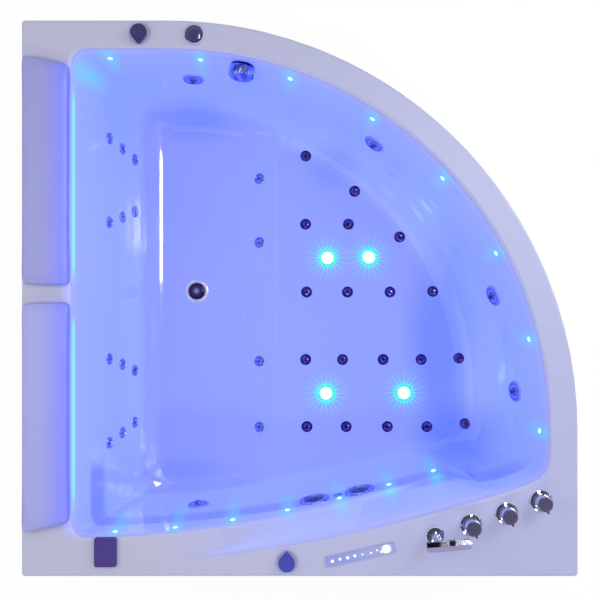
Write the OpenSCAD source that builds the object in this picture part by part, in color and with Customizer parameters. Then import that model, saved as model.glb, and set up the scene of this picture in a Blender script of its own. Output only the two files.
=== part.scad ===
/* [Tub outline] */
// Length of each wall side over the rim
side = 1500; // [1450:5:1550]
// Height of the rim above the floor
rim_h = 600; // [580:5:640]
// Radius of the curved front
front_r = 1106; // [1090:2:1120]
// Width of the rim along the front
rim_w = 79; // [74:1:84]
// Width of the rim behind the backrest, which carries the pillows
back_rim_w = 136; // [132:1:142]
// Thickness of the acrylic and glass fibre shell
shell_t = 5.5; // [4.5:0.5:5.5]
// Height of the turned down edge of the rim
edge_h = 40; // [30:1:50]
// Rounding of the outer top edge
edge_r = 6; // [6:0.5:7]
// Rounding of the outer corners, seen from above
corner_r = 8.5; // [8.5:0.5:10]

/* [Basin] */
// Depth of the seat floor below the rim
seat_depth = 430; // [400:5:440]
// Depth of the raised foot floor below the rim
foot_depth = 375; // [350:5:385]
// Run of the backrest from rim to seat floor
backrest_run = 184; // [170:2:200]
// Distance of the riser's foot from the basin edge behind the backrest
riser_x = 429; // [410:1:450]
// Run of the riser between the two floors
riser_run = 118; // [105:1:130]
// Half length of the rounded bends at the foot and the top of the riser
riser_soft = 15; // [10:1:20]
// Rounding of the basin edge
lip_r = 12; // [9:0.5:14]
// Radius of the foot floor's curved outline
floor_r = 780; // [760:5:800]
// Run of the basin wall from the rim to the floor at the straight top side
top_run = 166; // [155:1:180]
// Corner radius of the basin edge beside the backrest
lip_cr = 40; // [34:1:50]
// Corner radius of the seat floor
floor_cr = 65; // [55:1:70]
// Corner radius of the basin edge in the valve corner
valve_cr = 70; // [60:1:80]
// Corner radius of the foot floor in the valve corner
valve_floor_cr = 60; // [50:1:70]

/* [Armrest ledge] */
// Radius of the ledge's long curve
ledge_r = 3600; // [3400:50:3800]
// Width of the rim where the long curve comes nearest to the wall side
ledge_rim_w = 29; // [26:1:34]
// Distance of that place from the back side
ledge_x = 118; // [100:2:140]
// Width of the ledge from its outer curve to the basin edge
ledge_w = 78; // [72:1:84]
// Distance from the back side at which the ledge starts to sink
ledge_from = 300; // [280:5:320]
// Distance from the back side at which the ledge has sunk to its depth
ledge_to = 1150; // [1120:5:1180]
// Distance from the back side at which the ledge has faded into the wall
ledge_end = 1310; // [1280:5:1340]
// Depth of the ledge where it starts to fade
ledge_drop = 112; // [100:1:125]
// Run of the basin wall from the ledge to the floor
ledge_run = 65; // [60:1:72]

/* [Jets and lights] */
// Radius of the front cover of the small side jets
small_face_r = 17; // [15:0.5:18]
// Radius of the threaded body of the small jets
small_body_r = 9; // [8:0.5:10]
// Radius of the dome over each air jet
dome_r = 12; // [10:0.5:13]
// Depth of the side jets below the rim along the front
jet_depth = 195; // [180:5:220]
// Depth of the side jet below the ledge side
ledge_jet_depth = 248; // [230:2:260]
// Radius of the front ring of the side jets
jet_face_r = 31; // [29:0.5:33]
// Radius of the threaded body of the side jets
jet_body_r = 22; // [21:0.5:23]
// Radius of the turning ball in the side jets
ball_r = 17; // [16:0.5:17.5]
// Depth of the suction fittings below the rim
suction_depth = 142; // [138:1:150]
// Radius of the suction fittings
suction_face_r = 44; // [42:0.5:45]
// Radius of the perforated suction covers
suction_cover_r = 29; // [27:0.5:31]
// Depth of the rim lights below the rim along the front
light_depth = 66; // [60:1:72]
// Radius of the rim lights
rim_light_r = 7; // [6:0.5:8]
// Radius of the floor lights' rings
floor_light_r = 26; // [24:0.5:28]
// Gap between a fitting and the hole it passes through
hole_gap = 0.5; // [0.4:0.1:0.8]

/* [Waste and overflow] */
// Distance of the drain from the basin edge behind the backrest
drain_x = 291; // [285:1:297]
// Distance of the drain from the middle of the tub
drain_y = 23; // [20:1:26]
// Radius of the drain flange
drain_r = 36; // [34:0.5:38]
// Radius of the pop-up plug
plug_r = 26; // [24:0.5:27]
// Lift of the pop-up plug
plug_lift = 9; // [7:1:10]
// Radius of the overflow knob
overflow_r = 35; // [33:0.5:36]
// How far the overflow knob stands out
overflow_out = 36; // [32:1:40]
// Depth of the overflow below the rim
overflow_depth = 66; // [62:1:70]

/* [Rim fittings] */
// Distance of the row of taps from the ledge's long curve
tap_row = 57; // [54:1:60]
// Radius of the tap flanges
tap_flange_r = 31; // [29:0.5:33]
// Radius of the tap knobs
tap_knob_r = 21.5; // [20:0.5:23]
// Height of the tap knobs over the rim
tap_h = 50; // [46:1:54]
// Height of the hand shower's head over the rim
shower_h = 122; // [115:1:128]
// Length of the hand shower's head
shower_l = 116; // [110:2:122]
// Width of the hand shower's head
shower_w = 24; // [20:1:28]
// Radius of the air regulators and the pump button at the rim
deck_ring_r = 30; // [27:0.5:30.5]
// Length of the touch panel
panel_l = 194; // [180:2:200]
// Width of the touch panel
panel_w = 30; // [26:1:34]
// Width of the waterfall spout
spout_w = 60; // [56:1:64]
// Length of the waterfall spout
spout_l = 78; // [74:1:80]

/* [Pillows] */
// Height of the pillows' crown
pillow_h = 40; // [34:1:46]
// Length of each pillow
pillow_l = 618; // [600:2:626]
// Width of each pillow
pillow_w = 126; // [120:1:128]
// Gap between the two pillows
pillow_gap = 34; // [28:2:44]
// Skew of a pillow's outer end
pillow_skew = 22; // [14:2:28]

/* [Frame and apron] */
// Width of the square frame tube
tube_w = 30; // [28:1:31]
// Wall of the frame tube
tube_t = 2; // [1.5:0.5:3]
// Height of the frame's underside above the floor
frame_h = 60; // [50:5:70]
// Distance of the frame's posts from the outer edge
post_in = 37; // [36:0.5:38]
// Distance of the front apron from the outer edge
apron_in = 10; // [9:0.5:11]
// Thickness of the front apron
apron_t = 5; // [4:0.5:5]
// Gap between the front apron and the floor
apron_h = 15; // [10:1:25]

/* [Hidden] */

half = side / 2;
front_c = half - front_r;
lip_front_r = front_r - rim_w;
lip_top = half - rim_w;
lip_left = back_rim_w - half;
floor_left = lip_left + backrest_run;
floor_top = lip_top - top_run;
floor_c = [front_c, floor_top - floor_r];
riser_foot = lip_left + riser_x;
ledge_c = [ledge_x - half, ledge_rim_w - half + ledge_r];
floor_off = ledge_w + ledge_run;
out_c = half - corner_r;

function mix(a, b, t) = a + (b - a) * t;
function part_of(x, a, b) = min(1, max(0, (x - a) / (b - a)));
function ease(t) = t * t * (3 - 2 * t);
function turned(r, a) = [r * cos(a), r * sin(a)];
function sq(x) = x * x;

// A ramp from 0 to 1 with a rounded foot and top, b being half the length of each bend
function soft_ramp(t, b) =
    t <= -b ? 0 : t < b ? sq(t + b) / (4 * b) : t <= 1 - b ? t : t < 1 + b ? 1 - sq(1 + b - t) / (4 * b) : 1;

// Depth and slope of the floor at a place along the tub
function floor_depth(x) = seat_depth
    - (seat_depth - foot_depth) * soft_ramp((x - riser_foot) / riser_run, riser_soft / riser_run);
function floor_slope(x) = floor_depth(x - 0.5) - floor_depth(x + 0.5);

// The ledge's long curve moved inwards by off, and its angle at x
function long_curve(x, off) = [x, ledge_c[1] - sqrt(sq(ledge_r - off) - sq(x - ledge_c[0]))];
function long_angle(x) = asin((x - ledge_c[0]) / ledge_r);

// Fillet between the straight line x and the long curve moved inwards by off: its centre and its turn
function valve_fillet(x, off, r) =
    [x - r, ledge_c[1] - sqrt(sq(ledge_r - off - r) - sq(x - r - ledge_c[0]))];
function valve_turn(c) = atan2(c[1] - ledge_c[1], c[0] - ledge_c[0]);

// The basin edge is divided into stations, which run clockwise from the corner of backrest and ledge
n_side = 9;
n_long = 28;
front_end = 22;
seat_cols = [for (i = [0:3]) mix(front_c, riser_foot - riser_soft, i / 4)];
riser_cols = [for (t = [-riser_soft, 0, riser_soft, riser_run / 2, riser_run - riser_soft, riser_run,
    riser_run + riser_soft]) riser_foot + t];
cols = concat(seat_cols, riser_cols);
n_cols = len(cols);
col_turns = [for (x = cols) acos((x - front_c) / floor_r)];
n_foot = n_long - 2 - n_cols;
front_turns = concat(col_turns, [for (i = [1:n_foot]) mix(col_turns[n_cols - 1], front_end, i / n_foot)]);

lip_x = lip_left + lip_cr;
lip_bl = [lip_x, long_curve(lip_x, ledge_w)[1] + lip_cr];
lip_tl = [lip_x, lip_top - lip_cr];
floor_x = floor_left + floor_cr;
floor_bl = [floor_x, long_curve(floor_x, floor_off)[1] + floor_cr];
floor_tl = [floor_x, floor_top - floor_cr];
lip_br = valve_fillet(lip_top, 0, valve_cr);
floor_br = valve_fillet(floor_c[0] + floor_r, floor_off, valve_floor_cr);
lip_end_x = lip_br[0] + turned(valve_cr, valve_turn(lip_br))[0];
floor_end_x = floor_br[0] + turned(valve_floor_cr, valve_turn(floor_br))[0];

// A station holds the basin edge, the floor's edge, the outer edge, the two inward directions, how far
// the ledge has sunk there, how much of the ledge is left, and the ledge's own basin edge
function corner_at(lc, fc, oc, a) = [lc + turned(lip_cr, a), fc + turned(floor_cr, a),
    oc + turned(corner_r, a), -turned(1, a), -turned(1, a), 0, 0, lc + turned(lip_cr, a)];
function valve_at(t) = let(a = mix(valve_turn(lip_br), 0, t), fa = mix(valve_turn(floor_br), 0, t),
    oa = mix(-90, 0, t), p = lip_br + turned(valve_cr, a))
    [p, floor_br + turned(valve_floor_cr, fa), [out_c, -out_c] + turned(corner_r, oa),
    -turned(1, a), -turned(1, oa), 0, 0, p];
function curve_at(a) = let(p = [front_c, front_c] + turned(lip_front_r, a))
    [p, floor_c + turned(floor_r, a), [front_c, front_c] + turned(front_r, a),
    -turned(1, a), -turned(1, a), 0, 0, p];
function back_at(t) = let(p = [lip_left, mix(lip_bl[1], lip_tl[1], t)])
    [p, [floor_left, mix(floor_bl[1], floor_tl[1], t)], [-half, mix(-out_c, out_c, t)],
    [1, 0], [1, 0], 0, 0, p];
function ledge_at(x) = let(t = (x - floor_x) / (floor_end_x - floor_x), ex = mix(lip_x, lip_end_x, t),
    a = long_angle(ex), n = [-sin(a), cos(a)], p = long_curve(ex, 0))
    [p, long_curve(x, floor_off), [mix(-out_c, out_c, t), -half], n, [0, 1],
    ledge_drop * pow(part_of(ex + half, ledge_from, ledge_to), 1.3),
    1 - ease(part_of(ex + half, ledge_to, ledge_end)), p + n * ledge_w];

function back_station(j) = j < 2 ? corner_at(lip_bl, floor_bl, [-out_c, -out_c], 225 - 22.5 * j)
    : j > n_side - 2 ? corner_at(lip_tl, floor_tl, [-out_c, out_c], 180 - 22.5 * (j - n_side + 2))
    : back_at((j - 2) / (n_side - 4));
function front_station(i) = i < 3 ? corner_at(lip_tl, floor_tl, [-out_c, out_c], 135 - 22.5 * i)
    : curve_at(front_turns[i - 3]);
function valve_station(j) = j < 3 ? valve_at(0.5 + j / 4) : curve_at(front_end * (j - 3) / (n_side - 3));
function ledge_station(i) = i < 2 ? corner_at(lip_bl, floor_bl, [-out_c, -out_c], 225 + 22.5 * i)
    : i > n_long - 2 ? valve_at(0.5 - (n_long - i) / 4)
    : ledge_at(i == 2 ? floor_x : i < 3 + n_cols ? cols[i - 3]
    : mix(cols[n_cols - 1], floor_end_x, (i - 2 - n_cols) / (n_long - 4 - n_cols)));

stations = concat([for (j = [0:n_side - 1]) back_station(j)], [for (i = [0:n_long - 1]) front_station(i)],
    [for (j = [n_side:-1:1]) valve_station(j)], [for (i = [n_long:-1:1]) ledge_station(i)]);
n_st = len(stations);

// Share of the wall's run that is a plain slope: backrest, top side, right side and ledge side
slopes = [0.72, 0.38, 0.2, 0.35];
cove_e = 0.87;
function slope_of(n) = slopes[0] * sq(max(0, n[0])) + slopes[1] * sq(max(0, -n[1]))
    + slopes[2] * sq(max(0, -n[0])) + slopes[3] * sq(max(0, n[1]));
// How far in the wall has come at the share y of its height, and that share at an angle of the cove
function cove(y, t) = t * y + (1 - t) * (1 - pow(cos(asin(pow(y, 1 / cove_e))), cove_e));
function cove_angle(y) = asin(pow(y, 1 / cove_e));

// A point of the wall below the basin edge p: its station and its depth below the rim
function wall_xy(st, p, top, depth) = let(low = floor_depth(st[1][0]), y = (depth - top) / (low - top))
    mix(p, st[1], cove(max(0, min(1, y)), slope_of(st[3])));
function wall_point(st, p, top, depth) = let(q = wall_xy(st, p, top, depth)) [q[0], q[1], rim_h - depth];

// A point of the plain rim and wall: place counts outwards over the rim below 0, round the edge to 1, and
// down the wall above it
drop_step = 100;
function rim_start(st) = st[0] - st[3] * lip_r;
function rim_end(st) = st[2] + st[4] * edge_r;
function plain_point(st, t) =
    t <= 0 ? let(q = mix(rim_start(st), rim_end(st), -t)) [q[0], q[1], rim_h] :
    t <= 1 ? let(q = st[0] - st[3] * lip_r * (1 - sin(90 * t))) [q[0], q[1],
        rim_h - lip_r * (1 - cos(90 * t))] :
    wall_point(st, st[0], lip_r, lip_r + (t - 1) * drop_step);

// The six rings of the edge, on a plain rim and where the ledge has faded into the wall
flush_rings = [1, 0.5, 0, -0.5, -0.6, -0.7];
faded_rings = [2.05, 1.7, 1.35, 1, 0.5, 0];
wall_rings = 12;
function edge_rings(st, share) = [for (k = [0:5]) plain_point(st,
    mix(flush_rings[k], faded_rings[k], share))];
function wall_below(st, p, top, first) = let(low = floor_depth(st[1][0]),
    a0 = cove_angle(max(0, (first - top) / (low - top))))
    [for (k = [0:wall_rings - 1]) let(a = mix(90, a0, k / wall_rings))
    wall_point(st, p, top, mix(top, low, pow(sin(a), cove_e)))];
function plain_inside(st, share) = let(edge = edge_rings(st, share))
    concat(wall_below(st, st[0], lip_r, rim_h - edge[0][2]), edge);
step_soft = 4;
function ledge_inside(st) = let(drop = st[5], top = drop + lip_r, p = st[7], n = st[3],
    run = min(0.8 * drop + step_soft + 2, ledge_w - lip_r - step_soft),
    at = [for (v = [[0, top], [-lip_r * (1 - sin(45)), drop + lip_r * (1 - cos(45))], [-lip_r, drop],
    [run - ledge_w, drop], [step_soft / 2 - ledge_w, min(3, drop)], [-step_soft - ledge_w, 0]])
    let(q = p + n * v[0]) [q[0], q[1], rim_h - v[1]]])
    concat(wall_below(st, p, top, top), at);
function outer_rings(st) = [for (v = [[edge_r, 0], [edge_r * (1 - cos(45)), edge_r * (1 - sin(45))],
    [0, edge_r],
    [0, edge_h]]) let(q = st[2] + st[4] * v[0]) [q[0], q[1], rim_h - v[1]]];

valve_from = n_side + n_long;
function share_at(s) = s < valve_from || s == n_st - 1 ? 0 : min(1, (s - valve_from) / n_side);
function column(s) = let(st = stations[s], plain = plain_inside(st, share_at(s)))
    concat(s < valve_from + n_side || st[6] == 0 ? plain
    : let(own = ledge_inside(st)) [for (k = [0:len(own) - 1]) mix(plain[k], own[k], st[6])],
        outer_rings(st));

// The top of the shell by columns of points, and the underside a wall thickness below it
columns = [for (s = [0:n_st - 1]) column(s)];
n_ring = len(columns[0]);
function unit(v) = v / norm(v);
function floor_normal(x) = unit([-floor_slope(x), 0, 1]);
function top_normal(s, r) = r == 0 ? floor_normal(columns[s][0][0]) :
    unit(cross(columns[(s + 1) % n_st][r] - columns[(s + n_st - 1) % n_st][r],
    columns[s][min(r + 1, n_ring - 1)] - columns[s][r - 1]));
function under(p, n) = p - n * shell_t;

// The floor between the four sides of its edge
function floor_edge(s) = columns[s % n_st][0];
function row_share(j, t) = let(a = floor_edge(0)[1], b = floor_edge(n_side)[1],
    c = floor_edge(valve_from + n_side)[1], d = floor_edge(valve_from)[1])
    mix((floor_edge(j)[1] - a) / (b - a), (floor_edge(valve_from + n_side - j)[1] - c) / (d - c), t);
function floor_point(i, j) = let(top = floor_edge(n_side + i), low = floor_edge(n_st - i),
    p = mix(low, top, row_share(j, i / n_long))) [p[0], p[1], rim_h - floor_depth(p[0])];
floor_inner = [for (i = [1:n_long - 1]) for (j = [1:n_side - 1]) floor_point(i, j)];

rim_points = [for (s = [0:n_st - 1]) for (r = [0:n_ring - 1]) columns[s][r]];
rim_under = [for (s = [0:n_st - 1]) for (r = [0:n_ring - 1]) under(columns[s][r], top_normal(s, r))];
n_top = len(rim_points) + len(floor_inner);
function ring_index(s, r) = (s % n_st) * n_ring + r;
function grid_index(i, j) = i == 0 ? ring_index(j, 0) : i == n_long ? ring_index(valve_from + n_side - j,
    0)
    : j == 0 ? ring_index(n_st - i, 0) : j == n_side ? ring_index(n_side + i, 0)
    : len(rim_points) + (i - 1) * (n_side - 1) + j - 1;
function quad(a, b, c, d) = [[a, d, c], [a, c, b]];
function lowered(f) = [for (t = f) [t[0] + n_top, t[2] + n_top, t[1] + n_top]];
top_faces = concat(
    [for (s = [0:n_st - 1]) for (r = [0:n_ring - 2])
        each quad(ring_index(s, r), ring_index(s + 1, r), ring_index(s + 1, r + 1),
            ring_index(s, r + 1))],
    [for (i = [0:n_long - 1]) for (j = [0:n_side - 1])
        each quad(grid_index(i, j), grid_index(i + 1, j), grid_index(i + 1, j + 1),
            grid_index(i, j + 1))]);
edge_faces = [for (s = [0:n_st - 1]) let(a = ring_index(s, n_ring - 1), b = ring_index(s + 1, n_ring - 1))
    each quad(a, b, b + n_top, a + n_top)];

module shell_body() {
    polyhedron(points = concat(rim_points, floor_inner, rim_under,
        [for (p = floor_inner) under(p, floor_normal(p[0]))]),
        faces = concat(top_faces, lowered(top_faces), edge_faces), convexity = 10);
}

// Places on the shell. Each is a point and the direction square to the surface there
function station_wall(i, depth) = let(st = stations[i % n_st], own = st[6] > 0)
    wall_point(st, own ? st[7] : st[0], (own ? st[5] : 0) + lip_r, depth);
function wall_at(s, depth) = mix(station_wall(floor(s), depth), station_wall(floor(s) + 1, depth),
    s - floor(s));
function wall_spot(s, depth) = [wall_at(s, depth),
    unit(cross(wall_at(s, depth + 1) - wall_at(s, depth - 1),
    station_wall(floor(s) + 1, depth) - station_wall(floor(s), depth)))];
function floor_spot(x, y) = [[x, y, rim_h - floor_depth(x)], floor_normal(x)];
function rim_spot(x, y) = [[x, y, rim_h], [0, 0, 1]];
// Below the surface of a place, along its own direction
function behind(spot, depth) = spot[0] - spot[1] * depth;

function turn_of(p) = atan2(p[1] - front_c, p[0] - front_c);
front_table = [for (s = [n_side + 2:valve_from + n_side - 2]) [-turn_of(stations[s][0]), s]];
ledge_table = [for (s = [valve_from + n_side + 2:n_st - 2]) [-stations[s][7][0], s]];
ledge_drops = [for (s = [valve_from + n_side + 2:n_st - 2]) [-stations[s][7][0], stations[s][5]]];
function front_spot(a, depth) = wall_spot(lookup(-a, front_table), depth);
function back_spot(y, depth) = wall_spot(lookup(y, [for (s = [2:n_side - 2]) [station_wall(s, depth)[1],
    s]]),
    depth);
function ledge_spot(x, depth) = wall_spot(lookup(-x, ledge_table), depth);

// Jets
// Each row of floor jets: its distance from the ledge's wall side, then each jet's from the back side
row_places = [[979, [768, 900]], [770, [771, 897, 1028]], [562, [768, 882, 1007, 1124]],
    [355, [772, 893, 1020, 1142]]];
air_rows = [for (row = row_places) [row[0] - half, [for (x = row[1]) x - half]]];
// Each jet in the cove: its turn about the front's centre, then its height over the foot floor
cove_jets = [[62.7, 5], [49.5, 2.5], [35.7, 4], [22.2, 6], [7.8, 15], [-3.8, 20]];
flat_air_spots = [for (row = air_rows) for (x = row[1]) floor_spot(x, row[0])];
cove_air_spots = [for (j = cove_jets) front_spot(j[0], foot_depth - j[1])];
air_spots = concat(flat_air_spots, cove_air_spots);
riser_spots = [for (y = [1123, 924, 555, 350]) floor_spot(riser_foot + riser_run / 2, y - half)];
back_groups = [1092 - half, 453 - half];
back_rows = [[198, 121.5], [265, 101.5], [327, 79]];
back_spots = [for (g = back_groups) for (side_y = [1, -1]) for (row = back_rows)
    back_spot(g + side_y * row[1], row[0])];
small_spots = concat(riser_spots, back_spots);
jet_turns = [87.2, 54, 20.8, 4.2];
ledge_jet_x = 417 - half;
jet_spots = concat([for (a = jet_turns) front_spot(a, jet_depth)],
    [ledge_spot(ledge_jet_x, ledge_jet_depth)]);
suction_x = [792 - half, 924 - half];
suction_spots = [for (x = suction_x) ledge_spot(x, suction_depth)];
sensor_depth = suction_depth;
sensor_spot = ledge_spot((suction_x[0] + suction_x[1]) / 2 + 4, sensor_depth);
// Lights
front_lights = 8;
front_light_turns = [99.7, -0.7];
ledge_light_x = [for (x = [240, 405, 563, 715, 863, 1006, 1137]) x - half];
ledge_light_below = 30;
rim_light_spots = concat([for (i = [0:front_lights - 1])
    front_spot(mix(front_light_turns[0], front_light_turns[1], i / (front_lights - 1)), light_depth)],
    [for (x = ledge_light_x) ledge_spot(x, lookup(-x, ledge_drops) + lip_r + ledge_light_below)]);
floor_lights = [[835, 875], [963, 877], [831, 458], [1071, 459]];
floor_light_spots = [for (p = floor_lights) floor_spot(p[0] - half, p[1] - half)];
// Waste and overflow
drain_spot = floor_spot(lip_left + drain_x, drain_y);
overflow_turn = 78.7;
overflow_spot = front_spot(overflow_turn, overflow_depth);
// Rim
rim_mid = (lip_top + lip_r + half - edge_r) / 2;
regulator_spots = [rim_spot(front_c - 76, rim_mid), rim_spot(715 - half, ledge_rim_w / 2 - half + 24)];
regulator_turns = [-90, 90];
button_spot = rim_spot(front_c + 72, rim_mid - 4);
function tap_spot(x) = let(p = long_curve(x, -tap_row)) rim_spot(p[0], p[1]);
shower_x = 1114 - half;
tap_x = [1211 - half, 1307 - half, 1400 - half];
tap_spots = [for (x = tap_x) tap_spot(x)];
shower_spot = tap_spot(shower_x);
panel_x = 912 - half;
panel_spot = tap_spot(panel_x);
panel_turn = long_angle(panel_x);
spout_x = 228 - half;
spout_spot = rim_spot(spout_x, long_curve(spout_x, ledge_w)[1] - spout_l / 2 - 2);

// Moves what follows to a place, with its own upward direction square to the shell
module at(spot) translate(spot[0]) rotate([0, acos(spot[1][2]),
    atan2(spot[1][1], spot[1][0])]) children();
// A straight round bar between two points
module bar(a, b, r) translate(a) rotate([0, acos((b - a)[2] / norm(b - a)),
    atan2((b - a)[1], (b - a)[0])])
    cylinder(r = r, h = norm(b - a));
// A shallow dome standing on the height z
module dome(r, h, z) {
    big = (r * r + h * h) / (2 * h);
    rotate_extrude() intersection() {
        translate([0, z + h - big]) circle(big, $fn = 360);
        translate([0, z]) square([r, h]);
    }
}
module ring(r_out, r_in, low, high) rotate_extrude() translate([r_in, low]) square([r_out - r_in,
    high - low]);
// A round disc with a rounded upper edge
module soft_disc(r, low, high, e) rotate_extrude() {
    translate([0, low]) square([r - e, high - low]);
    translate([0, low]) square([r, high - low - e]);
    translate([r - e, high - e]) circle(e, $fn = 32);
}

// Fittings sit in shallow round seats, sunk into the shell, and their nuts pull up against its back
seat = 1;
gap = 0.1;
back_seat = shell_t - 0.3;
nut_gap = 0.3;
small_nut_r = 14;
jet_nut_r = 34;
suction_nut_r = 42;
rim_nut_r = 10;
rim_stem_r = 5;
floor_stem_r = jet_body_r;
floor_nut_r = jet_nut_r;
sensor_r = 13.5;
sensor_stem_r = small_body_r;
suction_body_r = 30;
drain_body_r = 23;
overflow_body_r = 20;
deck_body_r = 14;
tap_body_r = 12;
shower_body_r = 16;
spout_body_r = 11;
module fitting_hole(body_r, face_r, back_r) rotate_extrude() polygon([[0, -70], [back_r + 1, -70],
    [back_r + 1, -back_seat], [body_r + hole_gap, -back_seat], [body_r + hole_gap, -seat],
    [face_r + hole_gap, -seat], [face_r + hole_gap, 6], [0, 6]]);
module lock_nut(r_out, r_in, h) translate([0, 0, -back_seat - nut_gap - h]) difference() {
    cylinder(r = r_out, h = h, $fn = 6);
    translate([0, 0, -1]) cylinder(r = r_in + nut_gap, h = h + 2);
}

module tub_shell() color("white") difference() {
    shell_body();
    for (p = concat(air_spots, small_spots)) at(p) fitting_hole(small_body_r, small_face_r, small_nut_r);
    for (p = jet_spots) at(p) fitting_hole(jet_body_r, jet_face_r, jet_nut_r);
    for (p = suction_spots) at(p) fitting_hole(suction_body_r, suction_face_r, suction_nut_r);
    for (p = rim_light_spots) at(p) fitting_hole(rim_stem_r, rim_light_r, rim_nut_r);
    for (p = floor_light_spots) at(p) fitting_hole(floor_stem_r, floor_light_r, floor_nut_r);
    at(sensor_spot) fitting_hole(sensor_stem_r, sensor_r, sensor_r);
    at(drain_spot) fitting_hole(drain_body_r, drain_r, drain_r);
    at(overflow_spot) fitting_hole(overflow_body_r, overflow_r - 2, overflow_r - 4);
    for (p = regulator_spots) at(p) fitting_hole(deck_body_r, deck_ring_r, deck_body_r + 6);
    at(button_spot) fitting_hole(deck_body_r, deck_ring_r - 4, deck_body_r + 6);
    for (p = tap_spots) at(p) fitting_hole(tap_body_r, tap_flange_r, tap_body_r + 8);
    at(shower_spot) fitting_hole(shower_body_r, tap_flange_r - 5, shower_body_r + 6);
    at(spout_spot) fitting_hole(spout_body_r, spout_body_r + 1, spout_body_r + 6);
    at(panel_spot) rotate(panel_turn) cube([panel_l - 10, panel_w - 8, 4 * shell_t], center = true);
}
// Jets in the basin
tail = 34;
tail_r = 7;
module air_jet() difference() {
    rotate_extrude() polygon([[4, -tail], [tail_r, -tail], [tail_r, -22], [small_body_r, -22],
        [small_body_r, gap - seat], [small_face_r, gap - seat], [small_face_r, 1], [small_face_r - 1, 2],
        [dome_r, 2], [dome_r - 1, 5], [dome_r - 3.5, 7.2], [dome_r - 7, 8.6], [0, 9], [0, 2], [4, 2]]);
    for (a = [0:90:270]) rotate(a) translate([2.5, 0, 1]) cylinder(r = 1, h = 10);
}
module small_jet() rotate_extrude() polygon([[3.5, -tail], [tail_r, -tail], [tail_r, -22],
    [small_body_r, -22],
    [small_body_r, gap - seat], [small_face_r, gap - seat], [small_face_r, 1], [small_face_r - 1.5, 2.5],
    [12, 3], [10.5, 1.2], [7.5, 1.2], [6.5, 4], [3.5, 4]]);
module air_jets() color("navy") for (p = air_spots) at(p) air_jet();
module small_jets() color("slateblue") for (p = small_spots) at(p) small_jet();
module small_lock_nuts() color("white")
    for (p = concat(air_spots, small_spots, [sensor_spot])) at(p) lock_nut(small_nut_r - 1, small_body_r,
        6);

// Large jets with a turning eyeball
ball_z = -8;
ball_gap = 0.3;
nipple_z = -33;
nipple_l = 46;
nozzle_r = 8;
module side_jet_bodies() color("slateblue") for (p = jet_spots) at(p) difference() {
    union() {
        rotate_extrude() polygon([[0, -46], [jet_body_r - 3, -46], [jet_body_r, -43],
            [jet_body_r, gap - seat],
            [jet_face_r, gap - seat], [jet_face_r, 2], [jet_face_r - 3, 4], [0, 4]]);
        translate([0, 0, nipple_z]) rotate([0, 90, 0]) cylinder(r = tail_r, h = nipple_l);
    }
    translate([0, 0, ball_z]) sphere(ball_r + ball_gap);
    translate([0, 0, -41]) cylinder(r = 10, h = 30);
    translate([0, 0, nipple_z]) rotate([0, 90, 0]) cylinder(r = 4.5, h = nipple_l + 1);
    for (a = [30:60:330]) rotate(a) translate([22, 0, 3]) cylinder(r = 2.4, h = 3);
}
module nozzle(n) color("midnightblue") at(jet_spots[n]) translate([0, 0, ball_z]) difference() {
    union() {
        sphere(ball_r);
        cylinder(r = nozzle_r, h = ball_r + 3);
    }
    translate([0, 0, -ball_r - 1]) cylinder(r = nozzle_r - 2.5, h = 2 * ball_r + 6);
}
module front_jet_nozzle_1() nozzle(0);
module front_jet_nozzle_2() nozzle(1);
module front_jet_nozzle_3() nozzle(2);
module front_jet_nozzle_4() nozzle(3);
module ledge_jet_nozzle() nozzle(4);
module large_lock_nuts() color("white")
    for (p = concat(jet_spots, floor_light_spots)) at(p) lock_nut(jet_nut_r, jet_body_r, 9);

// Suction fittings and the level sensor
suction_tail = 58;
module suction_bodies() color("slateblue") for (p = suction_spots) at(p) difference() {
    rotate_extrude() polygon([[20, -suction_tail], [24, -suction_tail], [24, -40], [suction_body_r, -36],
        [suction_body_r, gap - seat], [suction_face_r, gap - seat], [suction_face_r, 1.5],
        [suction_face_r - 3, 4], [suction_cover_r + 2, 4], [suction_cover_r + gap * 3, 2.5],
        [suction_cover_r + gap * 3, 0], [26, 0], [26, -34], [20, -38]]);
    for (a = [15:30:345]) rotate(a) translate([36.5, 0, 2.5]) cylinder(r = 1.8, h = 3);
}
module suction_covers() color("midnightblue") for (p = suction_spots) at(p) difference() {
    dome(suction_cover_r, 6, 0.2 + 1.5);
    cylinder(r = suction_cover_r - 4, h = 2.4);
    for (row = [[0, 1], [8, 6], [15, 12], [22, 18]]) for (i = [1:row[1]]) rotate(i * 360 / row[1])
        translate([row[0], 0, -1]) cylinder(r = 2, h = 12);
}
module suction_nuts() color("white") for (p = suction_spots) at(p) lock_nut(suction_nut_r, suction_body_r,
    10);
module level_sensor() color("slateblue") at(sensor_spot) rotate_extrude() polygon([[0, -24],
    [small_body_r, -24],
    [small_body_r, gap - seat], [sensor_r, gap - seat], [sensor_r, 1], [sensor_r - 1.5, 2.5], [9, 2.5],
        [8, 1],
    [0, 1]]);

// Lights
module rim_lights() color("azure") for (p = rim_light_spots) at(p) rotate_extrude() polygon([[0, -18],
    [rim_stem_r, -18], [rim_stem_r, gap - seat], [rim_light_r, gap - seat], [rim_light_r, 0.6],
    [rim_light_r - 1.2, 2], [rim_light_r - 3.5, 2.8], [0, 3]]);
lens_r = 20;
module floor_light_bodies() color("silver") for (p = floor_light_spots) at(p) rotate_extrude() polygon([
    [0, -28], [floor_stem_r - 2, -28], [floor_stem_r, -26], [floor_stem_r, gap - seat],
        [floor_light_r, gap - seat],
    [floor_light_r, 1], [floor_light_r - 2, 3], [lens_r + gap * 2, 3], [lens_r + gap * 2, 0],
        [lens_r - 3, 0],
    [lens_r - 3, -25], [0, -25]]);
module floor_light_lenses() color("honeydew") for (p = floor_light_spots) at(p) {
    translate([0, 0, 0.2]) cylinder(r = lens_r, h = 2.1);
    dome(lens_r, 2.6, 2.2);
}

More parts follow.
